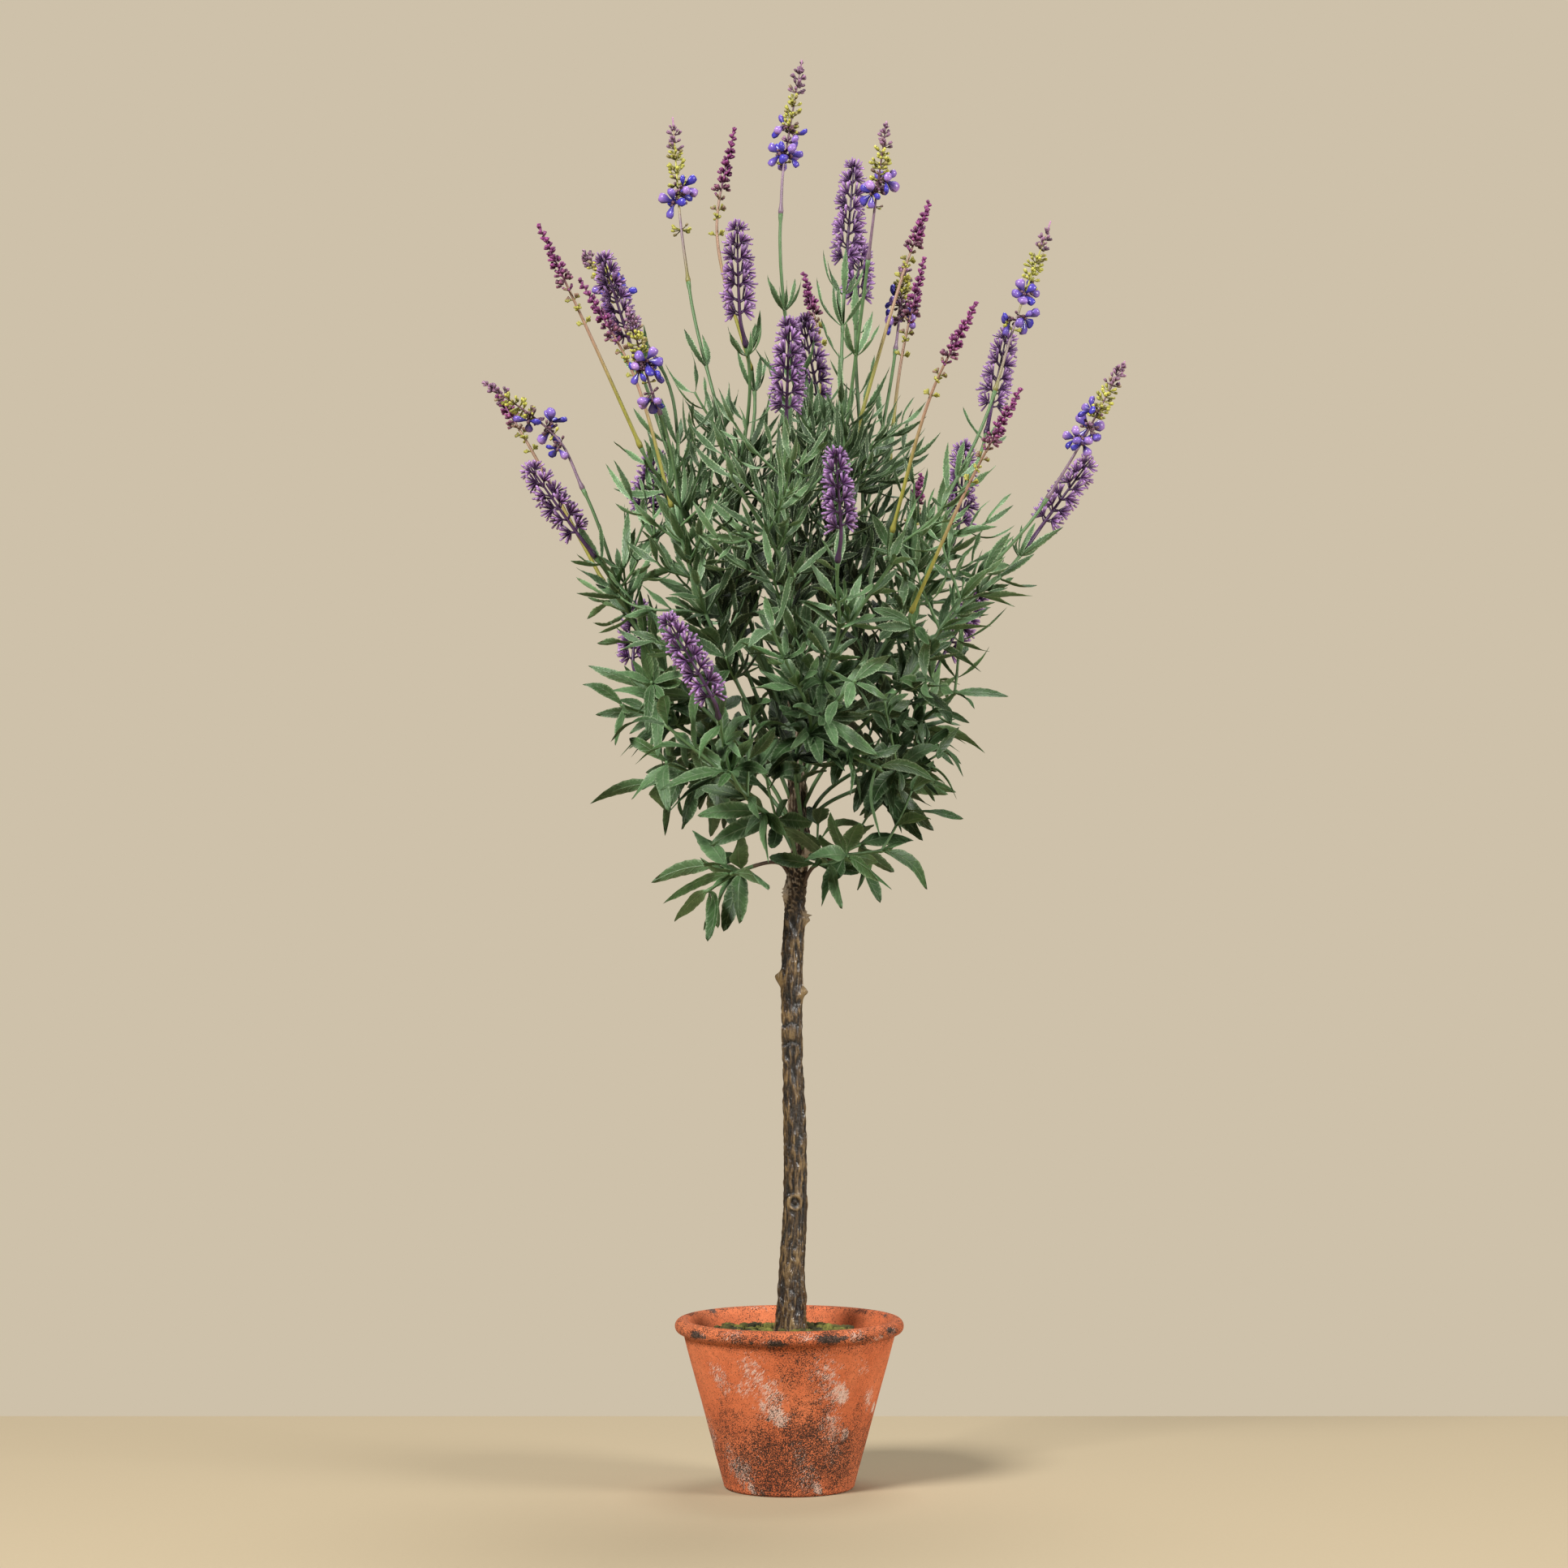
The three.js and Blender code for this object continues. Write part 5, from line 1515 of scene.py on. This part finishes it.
def fired_clay(look):
    """Terracotta, turned and fired, then limewashed, rubbed and sooted: quite matt, speckled."""
    material, add, place = new_material("terracotta turned limewashed")
    wear = add("Attribute", {}, attribute_name="wear")
    soot, lime, grey = add("SeparateColor", [wear]).outputs
    # Clay tone drifts over 40 mm, and the grog in it over 3 mm
    drift = add("TexNoise", {"Vector": place, **grain(40)})
    tone = add("MapRange", [drift, 0.35, 0.65])
    pale, deep = (*look.clay, 1), (*look.clay_deep, 1)
    clay = add("Mix", {SHARE: tone, BELOW: deep, ABOVE: pale}, **OVER)
    grog = add("TexNoise", {"Vector": place, **grain(3.03, roughness=0.65)})
    flecks = add("MapRange", [grog, 0.3, 0.7, 0.86, 1.12])
    clay = add("Mix", {SHARE: 1, BELOW: clay, ABOVE: flecks}, **TIMES)
    # The strokes of limewash are 4 mm long and 0.9 mm wide, and run down round the pot
    height = add("SeparateXYZ", [place]).outputs["Z"]
    slant = add("Math", [height, -13], **PRODUCT)
    sheared = add("VectorRotate", {"Vector": place, "Angle": slant}, rotation_type="Z_AXIS")
    drawn = add("Mapping", {"Vector": sheared, "Scale": (1, 1, 0.24)})
    strokes = add("TexNoise", {"Vector": drawn, **grain(0.87, 2)})
    clouds = add("TexNoise", {"Vector": place, **grain(3.846)})
    specks = add("TexNoise", {"Vector": place, **grain(0.769, 2, 0.75)})
    # Layers over the clay: mark and its weight, two patterns that break it up, the level at which
    # it starts and is full, its strongest share and its colour
    layers = (
        (lime, 0.5, strokes, clouds, 0.5, 1.02, 1.2, 0.85, look.lime),
        (grey, 0.7, clouds, strokes, 0.6, 1.14, 1.36, 0.9, look.worn),
        (soot, 0.2, specks, clouds, 0.25, 0.75, 0.8, 0.95, look.soot),
    )
    masks = []
    for mark, weight, pattern, other, other_weight, start, full, most, tint in layers:
        level = add("Math", [mark, weight, pattern], **SUM)
        level = add("Math", [other, other_weight, level], **SUM)
        masks.append(add("MapRange", [level, start, full, 0, most]))
        clay = add("Mix", {SHARE: masks[-1], BELOW: clay, ABOVE: (*tint, 1)}, **OVER)
    relief = add("Math", [masks[0], 0.6, grog], **SUM)
    close_material(add, {"Base Color": clay, "Roughness": 0.86, "IOR": 1.5}, relief, 0.16)
    return material


def cast_plaster():
    """Gypsum plaster, cast in the pot: off-white, matt, with pores of 1.7 mm."""
    material, add, place = new_material("gypsum plaster cast")
    pores = add("TexNoise", {"Vector": place, **grain(1.667)})
    deep, pale = (*linear("#a8a294"), 1), (*linear("#d4cfc2"), 1)
    tone = add("Mix", {SHARE: pores, BELOW: deep, ABOVE: pale}, **OVER)
    close_material(add, {"Base Color": tone, "Roughness": 0.9}, pores, 0.2)
    return material


def loose_peat():
    """Peat, loose and dry: near black, no shine, crumbs of 1 to 3 mm with fibres between."""
    return mottled("peat loose", grain(1.429, 4, 0.7), (0.4, 1.7), {"Roughness": 0.95}, 0.8)


def dyed_moss():
    """Sheet moss, dried and dyed: dull olive with bright tips, no shine, fronds of 1.3 mm."""
    fronds = grain(1.25, roughness=0.7)
    return mottled("sheet moss dried dyed", fronds, (0.45, 1.6), {"Roughness": 0.9}, 0.5)


def varnished_bark(look):
    """Shrub stem with its bark on, varnished below the head: wet-looking strands, dull above."""
    material, add, place = new_material("shrub bark varnished")
    dye = add("Attribute", {}, attribute_name="dye")
    ridge_height, dull, _ = add("SeparateColor", [dye]).outputs
    # Strands 1.2 mm wide and 9 mm long, with lumps of 2 mm on them
    stretched = add("Mapping", {"Vector": place, "Scale": (1, 1, 0.13)})
    strands = add("TexNoise", {"Vector": stretched, **grain(1.176, 4, 0.62, Distortion=0.6)})
    lumps = add("TexNoise", {"Vector": place, **grain(2.083)})
    height = add("Math", [ridge_height, 0.8, strands], **SUM)
    # Low points of the relief go to the near-black furrow colour: partly the bark's own darker
    # furrows, partly painted shade in the grooves
    body = add("MapRange", [height, 0.68, 1.06])
    furrow, strand = (*look.bark_deep, 1), (*look.bark, 1)
    brown = add("Mix", {SHARE: body, BELOW: furrow, ABOVE: strand}, **OVER)
    # Ridges are worn pale, and dusty inside the head
    dust = (*linear("#cdbda8"), 1)
    worn = add("Mix", {SHARE: dull, BELOW: (*look.bark_ridge, 1), ABOVE: dust}, **OVER)
    pale = add("MapRange", [height, 0.9, 1.25, 0, 0.8])
    brown = add("Mix", {SHARE: pale, BELOW: brown, ABOVE: worn}, **OVER)
    # The brown itself drifts over 18 mm
    blots = add("TexNoise", {"Vector": place, **grain(18.18)})
    warm = add("MapRange", [blots, 0.4, 0.62, 0.82, 1.16])
    brown = add("Mix", {SHARE: 1, BELOW: brown, ABOVE: warm}, **TIMES)
    rough = add("MapRange", [dull, 0, 1, 0.45, 0.8])
    # The varnish pools over the strands, so its own relief is broader: streaks 1.6 mm wide and
    # 7 mm long
    drawn = add("Mapping", {"Vector": place, "Scale": (1, 1, 0.22)})
    pools = add("TexNoise", {"Vector": drawn, **grain(1.5625, 2, 0.5, Distortion=0.6)})
    varnish = add("Bump", {"Height": pools, "Distance": 1.9 * MM, "Strength": 1})
    coat = add("MapRange", [dull, 0, 1, 1, 0.05])
    relief = add("Math", [lumps, 0.6, strands], **SUM)
    shader = {
        "Base Color": brown, "Roughness": rough, "IOR": 1.5, "Coat Weight": coat,
        "Coat Roughness": 0.15, "Coat Normal": varnish,
    }
    close_material(add, shader, relief, 1.4)
    return material


def moulded_plastic(name, roughness, streak, spread, depth, coat=0.0, stretch=1.0):
    """Polyethylene, moulded and airbrushed: the dye of the mould, mottled at a scale in mm."""
    shader = {"Roughness": roughness, "IOR": 1.5, "Coat Weight": coat, "Coat Roughness": 0.1}
    tones = (1 - spread, 1 + spread)
    return mottled("polyethylene " + name, grain(streak), tones, shader, depth, stretch)


def petal_plastic():
    """Glossy drops with a soft highlight."""
    return moulded_plastic("moulded glossy", 0.33, 2.5, 0.14, 0.05, coat=0.2)


def flower_plastic(kind):
    """Satin buds and florets, unevenly dyed."""
    return moulded_plastic("moulded satin " + kind, 0.45, 1.1, 0.3, 0.12)


def spike_stem_plastic(kind):
    """Stems with lengthwise streaks."""
    return moulded_plastic("drawn stem " + kind, 0.42, 1.2, 0.22, 0.1, stretch=0.15)


def stem_plastic():
    """Leaf stems, matt, streaked along their length."""
    return moulded_plastic("moulded stem", 0.5, 1.4, 0.2, 0.12, stretch=0.15)


def leaf_plastic():
    """Polyethylene leaves, moulded and airbrushed: soft sheen, pale midrib and veins, and pale
    edges that are partly their own colour and partly a painted highlight.
    """
    material, add, place = new_material("polyethylene moulded leaf")
    flat = add("TexCoord", {}).outputs["UV"]
    across, along, _ = add("SeparateXYZ", [flat]).outputs
    centred = add("Math", [across, 0.5], operation="SUBTRACT")
    aside = add("Math", [centred], operation="ABSOLUTE")
    midrib = add("MapRange", [aside, 0.015, 0.06, 1, 0])
    # Seven pairs of side veins that climb towards the edge
    climb = add("Math", [aside, -0.34, along], **SUM)
    wave = add("Math", [climb, 44], **PRODUCT)
    ripple = add("Math", [wave], operation="SINE")
    vein = add("MapRange", [ripple, 0.5, 1, 0, 1])
    # The pale saw edge, with finer teeth than the mesh has: partly the leaf's own colour, partly a
    # painted highlight
    saw = add("Math", [along, 110], **PRODUCT)
    saw = add("Math", [saw], operation="SINE")
    edge = add("Math", [saw, 0.05, aside], **SUM)
    edge = add("MapRange", [edge, 0.36, 0.47, 0, 0.9])
    dye = add("Attribute", {}, attribute_name="dye")
    edge = add("Math", [edge, dye.outputs["Alpha"]], **PRODUCT)
    mist = add("TexNoise", {"Vector": place, **grain(6.25, 4, 0.65)})
    tone = add("MapRange", [mist, 0.3, 0.7, 0.72, 1.28])
    body = add("Mix", {SHARE: 1, BELOW: dye, ABOVE: tone}, **TIMES)
    lines = add("Math", [midrib, 0.17, edge], **SUM)
    lines = add("Math", [vein, 0.05, lines], **SUM)
    whitened = (*linear("#b6caa4"), 1)
    pale = add("Mix", {SHARE: lines, BELOW: body, ABOVE: whitened}, **OVER)
    hollow = add("Math", [vein, 0.5, midrib], **SUM)
    relief = add("Math", [mist, 0.6, hollow], **SUM)
    close_material(add, {"Base Color": pale, "Roughness": 0.5, "IOR": 1.45}, relief, 0.3)
    return material


# Stage

# Floor: from behind the pot to in front of it
FLOOR_WIDTH = 5000
FLOOR_BACK = 337
FLOOR_DEPTH = 1600

# Lamps round the middle of the tree, in metres: place, size, share of the main lamp, colour
TREE_MIDDLE = (0, 0, 0.5)
LAMPS = {
    "key": ((-1.8, -2.3, 2.6), 1.2, 1, (1, 0.98, 0.95)),
    "fill": ((2.7, -1.2, 1.4), 1.2, 0.42, (1, 0.98, 0.94)),
    "top": ((0.3, 1.0, 3.2), 1.4, 0.27, (1, 0.99, 0.97)),
}
CAMERA_X, CAMERA_HEIGHT = -3.7, 489.7
SENSOR_WIDTH = 36


def floor_paint(look):
    """Paint, rolled matt: stippled at 2.5 mm, hardly seen."""
    material, add, place = new_material("paint rolled matt")
    stipple = add("TexNoise", {"Vector": place, **grain(2.5, 2, 0.5)})
    tone = add("MapRange", [stipple, 0, 1, 0.97, 1.03])
    colour = add("Mix", {SHARE: 1, BELOW: (*look.floor, 1), ABOVE: tone}, **TIMES)
    close_material(add, {"Base Color": colour, "Roughness": 0.8})
    return material


def add_floor(look):
    """The floor that the pot stands on."""
    bm = bmesh.new()
    bmesh.ops.create_grid(bm, x_segments=1, y_segments=1, size=0.5)
    bmesh.ops.scale(bm, vec=(FLOOR_WIDTH * MM, FLOOR_DEPTH * MM, 1), verts=bm.verts)
    bmesh.ops.translate(bm, vec=(0, (FLOOR_BACK - FLOOR_DEPTH / 2) * MM, 0), verts=bm.verts)
    mesh = bpy.data.meshes.new("floor")
    bm.to_mesh(mesh)
    bm.free()
    mesh.materials.append(floor_paint(look))
    floor = bpy.data.objects.new("floor", mesh)
    bpy.context.scene.collection.objects.link(floor)
    floor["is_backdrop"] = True


def add_air(look):
    """The camera sees a pale wall all round, and the part gets a weaker light from it."""
    world = bpy.data.worlds.new("studio")
    add = open_tree(world)
    seen = add("Background", [(*look.air, 1), 1])
    lit = add("Background", [(*look.air, 1), look.air_strength])
    camera_ray = add("LightPath", {}).outputs["Is Camera Ray"]
    both = add("MixShader", [camera_ray, lit, seen])
    add("OutputWorld", {"Surface": both})
    bpy.context.scene.world = world
    bpy.context.scene.view_settings.view_transform = "Standard"


def add_lamps(look):
    """Round lamps that look at the middle of the tree."""
    for name, (place, size, share, colour) in LAMPS.items():
        light = bpy.data.lights.new(name, "AREA")
        light.shape, light.size, light.energy, light.color = "DISK", size, look.key * share, colour
        lamp = bpy.data.objects.new(name, light)
        lamp.location = place
        aim = Vector(TREE_MIDDLE) - Vector(place)
        lamp.rotation_euler = aim.to_track_quat("-Z", "Y").to_euler()
        bpy.context.scene.collection.objects.link(lamp)


def add_camera(look):
    """The camera in front, level, at the height it was solved for."""
    camera = bpy.data.cameras.new("camera")
    camera.lens, camera.sensor_width = look.lens, SENSOR_WIDTH
    eye = bpy.data.objects.new("camera", camera)
    eye.location = (CAMERA_X * MM, -look.distance, CAMERA_HEIGHT * MM)
    eye.rotation_euler = Euler((math.pi / 2, 0, 0))
    bpy.context.scene.collection.objects.link(eye)
    bpy.context.scene.camera = eye


# Settings, operators and panel


def colour(name, description, code):
    """A colour in the panel, from its hex code."""
    return FloatVectorProperty(
        name=name, description=description, subtype="COLOR", size=3, min=0, max=1,
        default=linear(code),
    )


def length(name, description, metres):
    """A length in the panel."""
    return FloatProperty(
        name=name, description=description, default=metres, min=0, unit="LENGTH", precision=4
    )


def share(name, description, default, most):
    """A share in the panel."""
    return FloatProperty(
        name=name, description=description, default=default, min=0, max=most, subtype="FACTOR"
    )


def number(name, description, default, least, most):
    """A count in the panel."""
    return IntProperty(name=name, description=description, default=default, min=least, max=most)


class PotLook(bpy.types.PropertyGroup):
    """Colours and fineness of the terracotta pot"""

    clay: colour("Clay", "Fired clay where it is lightest", "#d7784b")
    clay_deep: colour("Deep clay", "Fired clay where it is darkest", "#c66539")
    lime: colour("Lime", "Limewash strokes", "#e3c8ba")
    worn: colour("Worn", "Grey worn patches on the rim", "#4b4742")
    soot: colour("Soot", "Dark specks", "#21150c")
    steps: number("Steps", "Faces round the pot", 168, 24, 400)


class FillingLook(bpy.types.PropertyGroup):
    """Soil and moss in the pot"""

    peat: colour("Peat", "Loose peat", "#2e241b")
    moss_fresh: colour("Fresh moss", "Bright moss tips", "#8f8c3a")
    moss_dull: colour("Dull moss", "Moss in the shade", "#36341a")
    crumbs: number("Crumbs", "Loose crumbs on the soil", 700, 0, 3000)
    tufts: number("Tufts", "Moss tufts", 330, 0, 1000)


class TrunkLook(bpy.types.PropertyGroup):
    """Colours and fineness of the trunk"""

    bark: colour("Bark", "Strands of the bark", "#50391e")
    # The furrow colour is partly the bark's own and partly painted shade
    bark_deep: colour("Deep bark", "Furrows between the strands", "#120b05")
    bark_ridge: colour("Bark ridge", "Worn ridges", "#a28759")
    sides: number("Sides", "Faces round the trunk", 64, 8, 128)
    rings: number("Rings", "Faces up the trunk", 440, 40, 800)


class LeafLook(bpy.types.PropertyGroup):
    """Colours and density of the leaves"""

    fresh: colour("Fresh leaf", "Narrow leaves high in the head", "#63845a")
    deep: colour("Deep leaf", "Broad leaves inside the head", "#3a5730")
    stem: colour("Leaf stem", "Green stems", "#5d7c50")
    wood: colour("Wood", "Woody stems low on the trunk", "#4c392c")
    spacing: length("Leaf spacing", "Distance between leaf pairs on a stem", 0.025)
    twigs: share("Twigs", "Share of the axils that bear a twig", 0.9, 1)
    teeth: share("Teeth", "Depth of the saw edge, as a share of the width", 0.17, 0.5)


class FlowerLook(bpy.types.PropertyGroup):
    """Colours and sizes of the flower spikes"""

    petal: colour("Petal", "Open petals at the foot", "#443ca6")
    petal_end: colour("Petal end", "Ends of the palest petals", "#c095dc")
    mauve: colour("Mauve stem", "Stem under the open flowers", "#8d7488")
    cup: colour("Cup", "Cups and closed buds among the open flowers", "#62444f")
    green_bud: colour("Green bud", "Buds halfway up", "#a9a648")
    tip_bud: colour("Tip bud", "Buds near the tip", "#84607a")
    bead: colour("Bead", "Plum buds", "#7b356a")
    olive: colour("Olive", "Foot of a bead spike", "#8f8b3d")
    tan: colour("Tan", "Stem of a bead spike", "#a5836c")
    comb: colour("Floret", "Finger florets", "#623674")
    # The floret end colour is partly the florets' own paler ends and partly a painted highlight
    comb_end: colour("Floret end", "Ends of the florets", "#ab84b9")
    comb_stem: colour("Floret stem", "Stem between the florets", "#3f2847")
    petal_length: length("Petal length", "Length of an open petal", 0.0119)
    finger_length: length("Floret length", "Length of a finger floret", 0.0093)


class StageLook(bpy.types.PropertyGroup):
    """Floor, light and camera"""

    floor: colour("Floor", "Floor under the pot", "#b4a487")
    air: colour("Air", "The pale wall round the part", "#cec1aa")
    air_strength: FloatProperty(
        name="Air light", description="Strength of the light from all round", default=0.045, min=0
    )
    key: FloatProperty(
        name="Key light", description="Power of the main lamp", default=178, min=0, unit="POWER"
    )
    lens: FloatProperty(
        name="Lens", description="Focal length", default=98.9, min=1, unit="CAMERA"
    )
    distance: length("Camera distance", "From the trunk to the camera", 3.0)


class LAVENDER_OT_pot(bpy.types.Operator):
    """Build the terracotta pot"""

    bl_idname = "lavender.pot"
    bl_label = "Pot"

    def execute(self, context):
        build_pot(context.scene.lavender_pot)
        return {"FINISHED"}


class LAVENDER_OT_filling(bpy.types.Operator):
    """Build the plaster, soil and moss in the pot"""

    bl_idname = "lavender.filling"
    bl_label = "Soil and moss"

    def execute(self, context):
        build_filling(context.scene.lavender_filling)
        return {"FINISHED"}


class LAVENDER_OT_trunk(bpy.types.Operator):
    """Build the trunk with its bark and knots"""

    bl_idname = "lavender.trunk"
    bl_label = "Trunk"

    def execute(self, context):
        build_trunk(context.scene.lavender_trunk)
        return {"FINISHED"}


class LAVENDER_OT_sprays(bpy.types.Operator):
    """Build the stems and leaves"""

    bl_idname = "lavender.sprays"
    bl_label = "Stems and leaves"

    def execute(self, context):
        build_sprays(context.scene.lavender_leaf)
        return {"FINISHED"}


class LAVENDER_OT_spikes(bpy.types.Operator):
    """Build the flower spikes of all three kinds"""

    bl_idname = "lavender.spikes"
    bl_label = "Flower spikes"

    def execute(self, context):
        for kind in KINDS:
            build_spikes(kind, context.scene.lavender_flower)
        return {"FINISHED"}


class LAVENDER_OT_stage(bpy.types.Operator):
    """Add the floor, the light and the camera"""

    bl_idname = "lavender.stage"
    bl_label = "Stage"

    def execute(self, context):
        look = context.scene.lavender_stage
        add_floor(look)
        add_air(look)
        add_lamps(look)
        add_camera(look)
        return {"FINISHED"}


LOOKS = {
    "pot": PotLook, "filling": FillingLook, "trunk": TrunkLook, "leaf": LeafLook,
    "flower": FlowerLook, "stage": StageLook,
}
OPERATORS = (
    LAVENDER_OT_pot, LAVENDER_OT_filling, LAVENDER_OT_trunk, LAVENDER_OT_sprays,
    LAVENDER_OT_spikes, LAVENDER_OT_stage,
)


class LAVENDER_PT_panel(bpy.types.Panel):
    """Lists the pieces and their settings"""

    bl_idname = "LAVENDER_PT_panel"
    bl_label = "Lavender"
    bl_space_type = "VIEW_3D"
    bl_region_type = "UI"
    bl_category = "Lavender"

    def draw(self, context):
        for operator in OPERATORS:
            self.layout.operator(operator.bl_idname)
        for name, look in LOOKS.items():
            box = self.layout.box()
            box.label(text=look.__doc__)
            for setting in look.__annotations__:
                box.prop(getattr(context.scene, "lavender_" + name), setting)


def register():
    for cls in (*LOOKS.values(), *OPERATORS, LAVENDER_PT_panel):
        bpy.utils.register_class(cls)
    for name, look in LOOKS.items():
        setattr(bpy.types.Scene, "lavender_" + name, PointerProperty(type=look))


def unregister():
    for name in LOOKS:
        delattr(bpy.types.Scene, "lavender_" + name)
    for cls in (LAVENDER_PT_panel, *OPERATORS, *LOOKS.values()):
        bpy.utils.unregister_class(cls)


def main():
    """Builds the whole tree and its stage, and works out the sizes of the solids and of the tree.
    """
    register()
    bpy.ops.lavender.pot()
    bpy.ops.lavender.filling()
    bpy.ops.lavender.trunk()
    bpy.ops.lavender.sprays()
    bpy.ops.lavender.spikes()
    bpy.ops.lavender.stage()
    for pattern in [mesh for mesh in bpy.data.meshes if mesh.name.startswith("skin pattern")]:
        bpy.data.meshes.remove(pattern)
    boxes = {"cad": CAD_BOX, "visual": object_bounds()}
    {name: [list(corner) for corner in box] for name, box in boxes.items()}


if __name__ == "__main__":
    main()
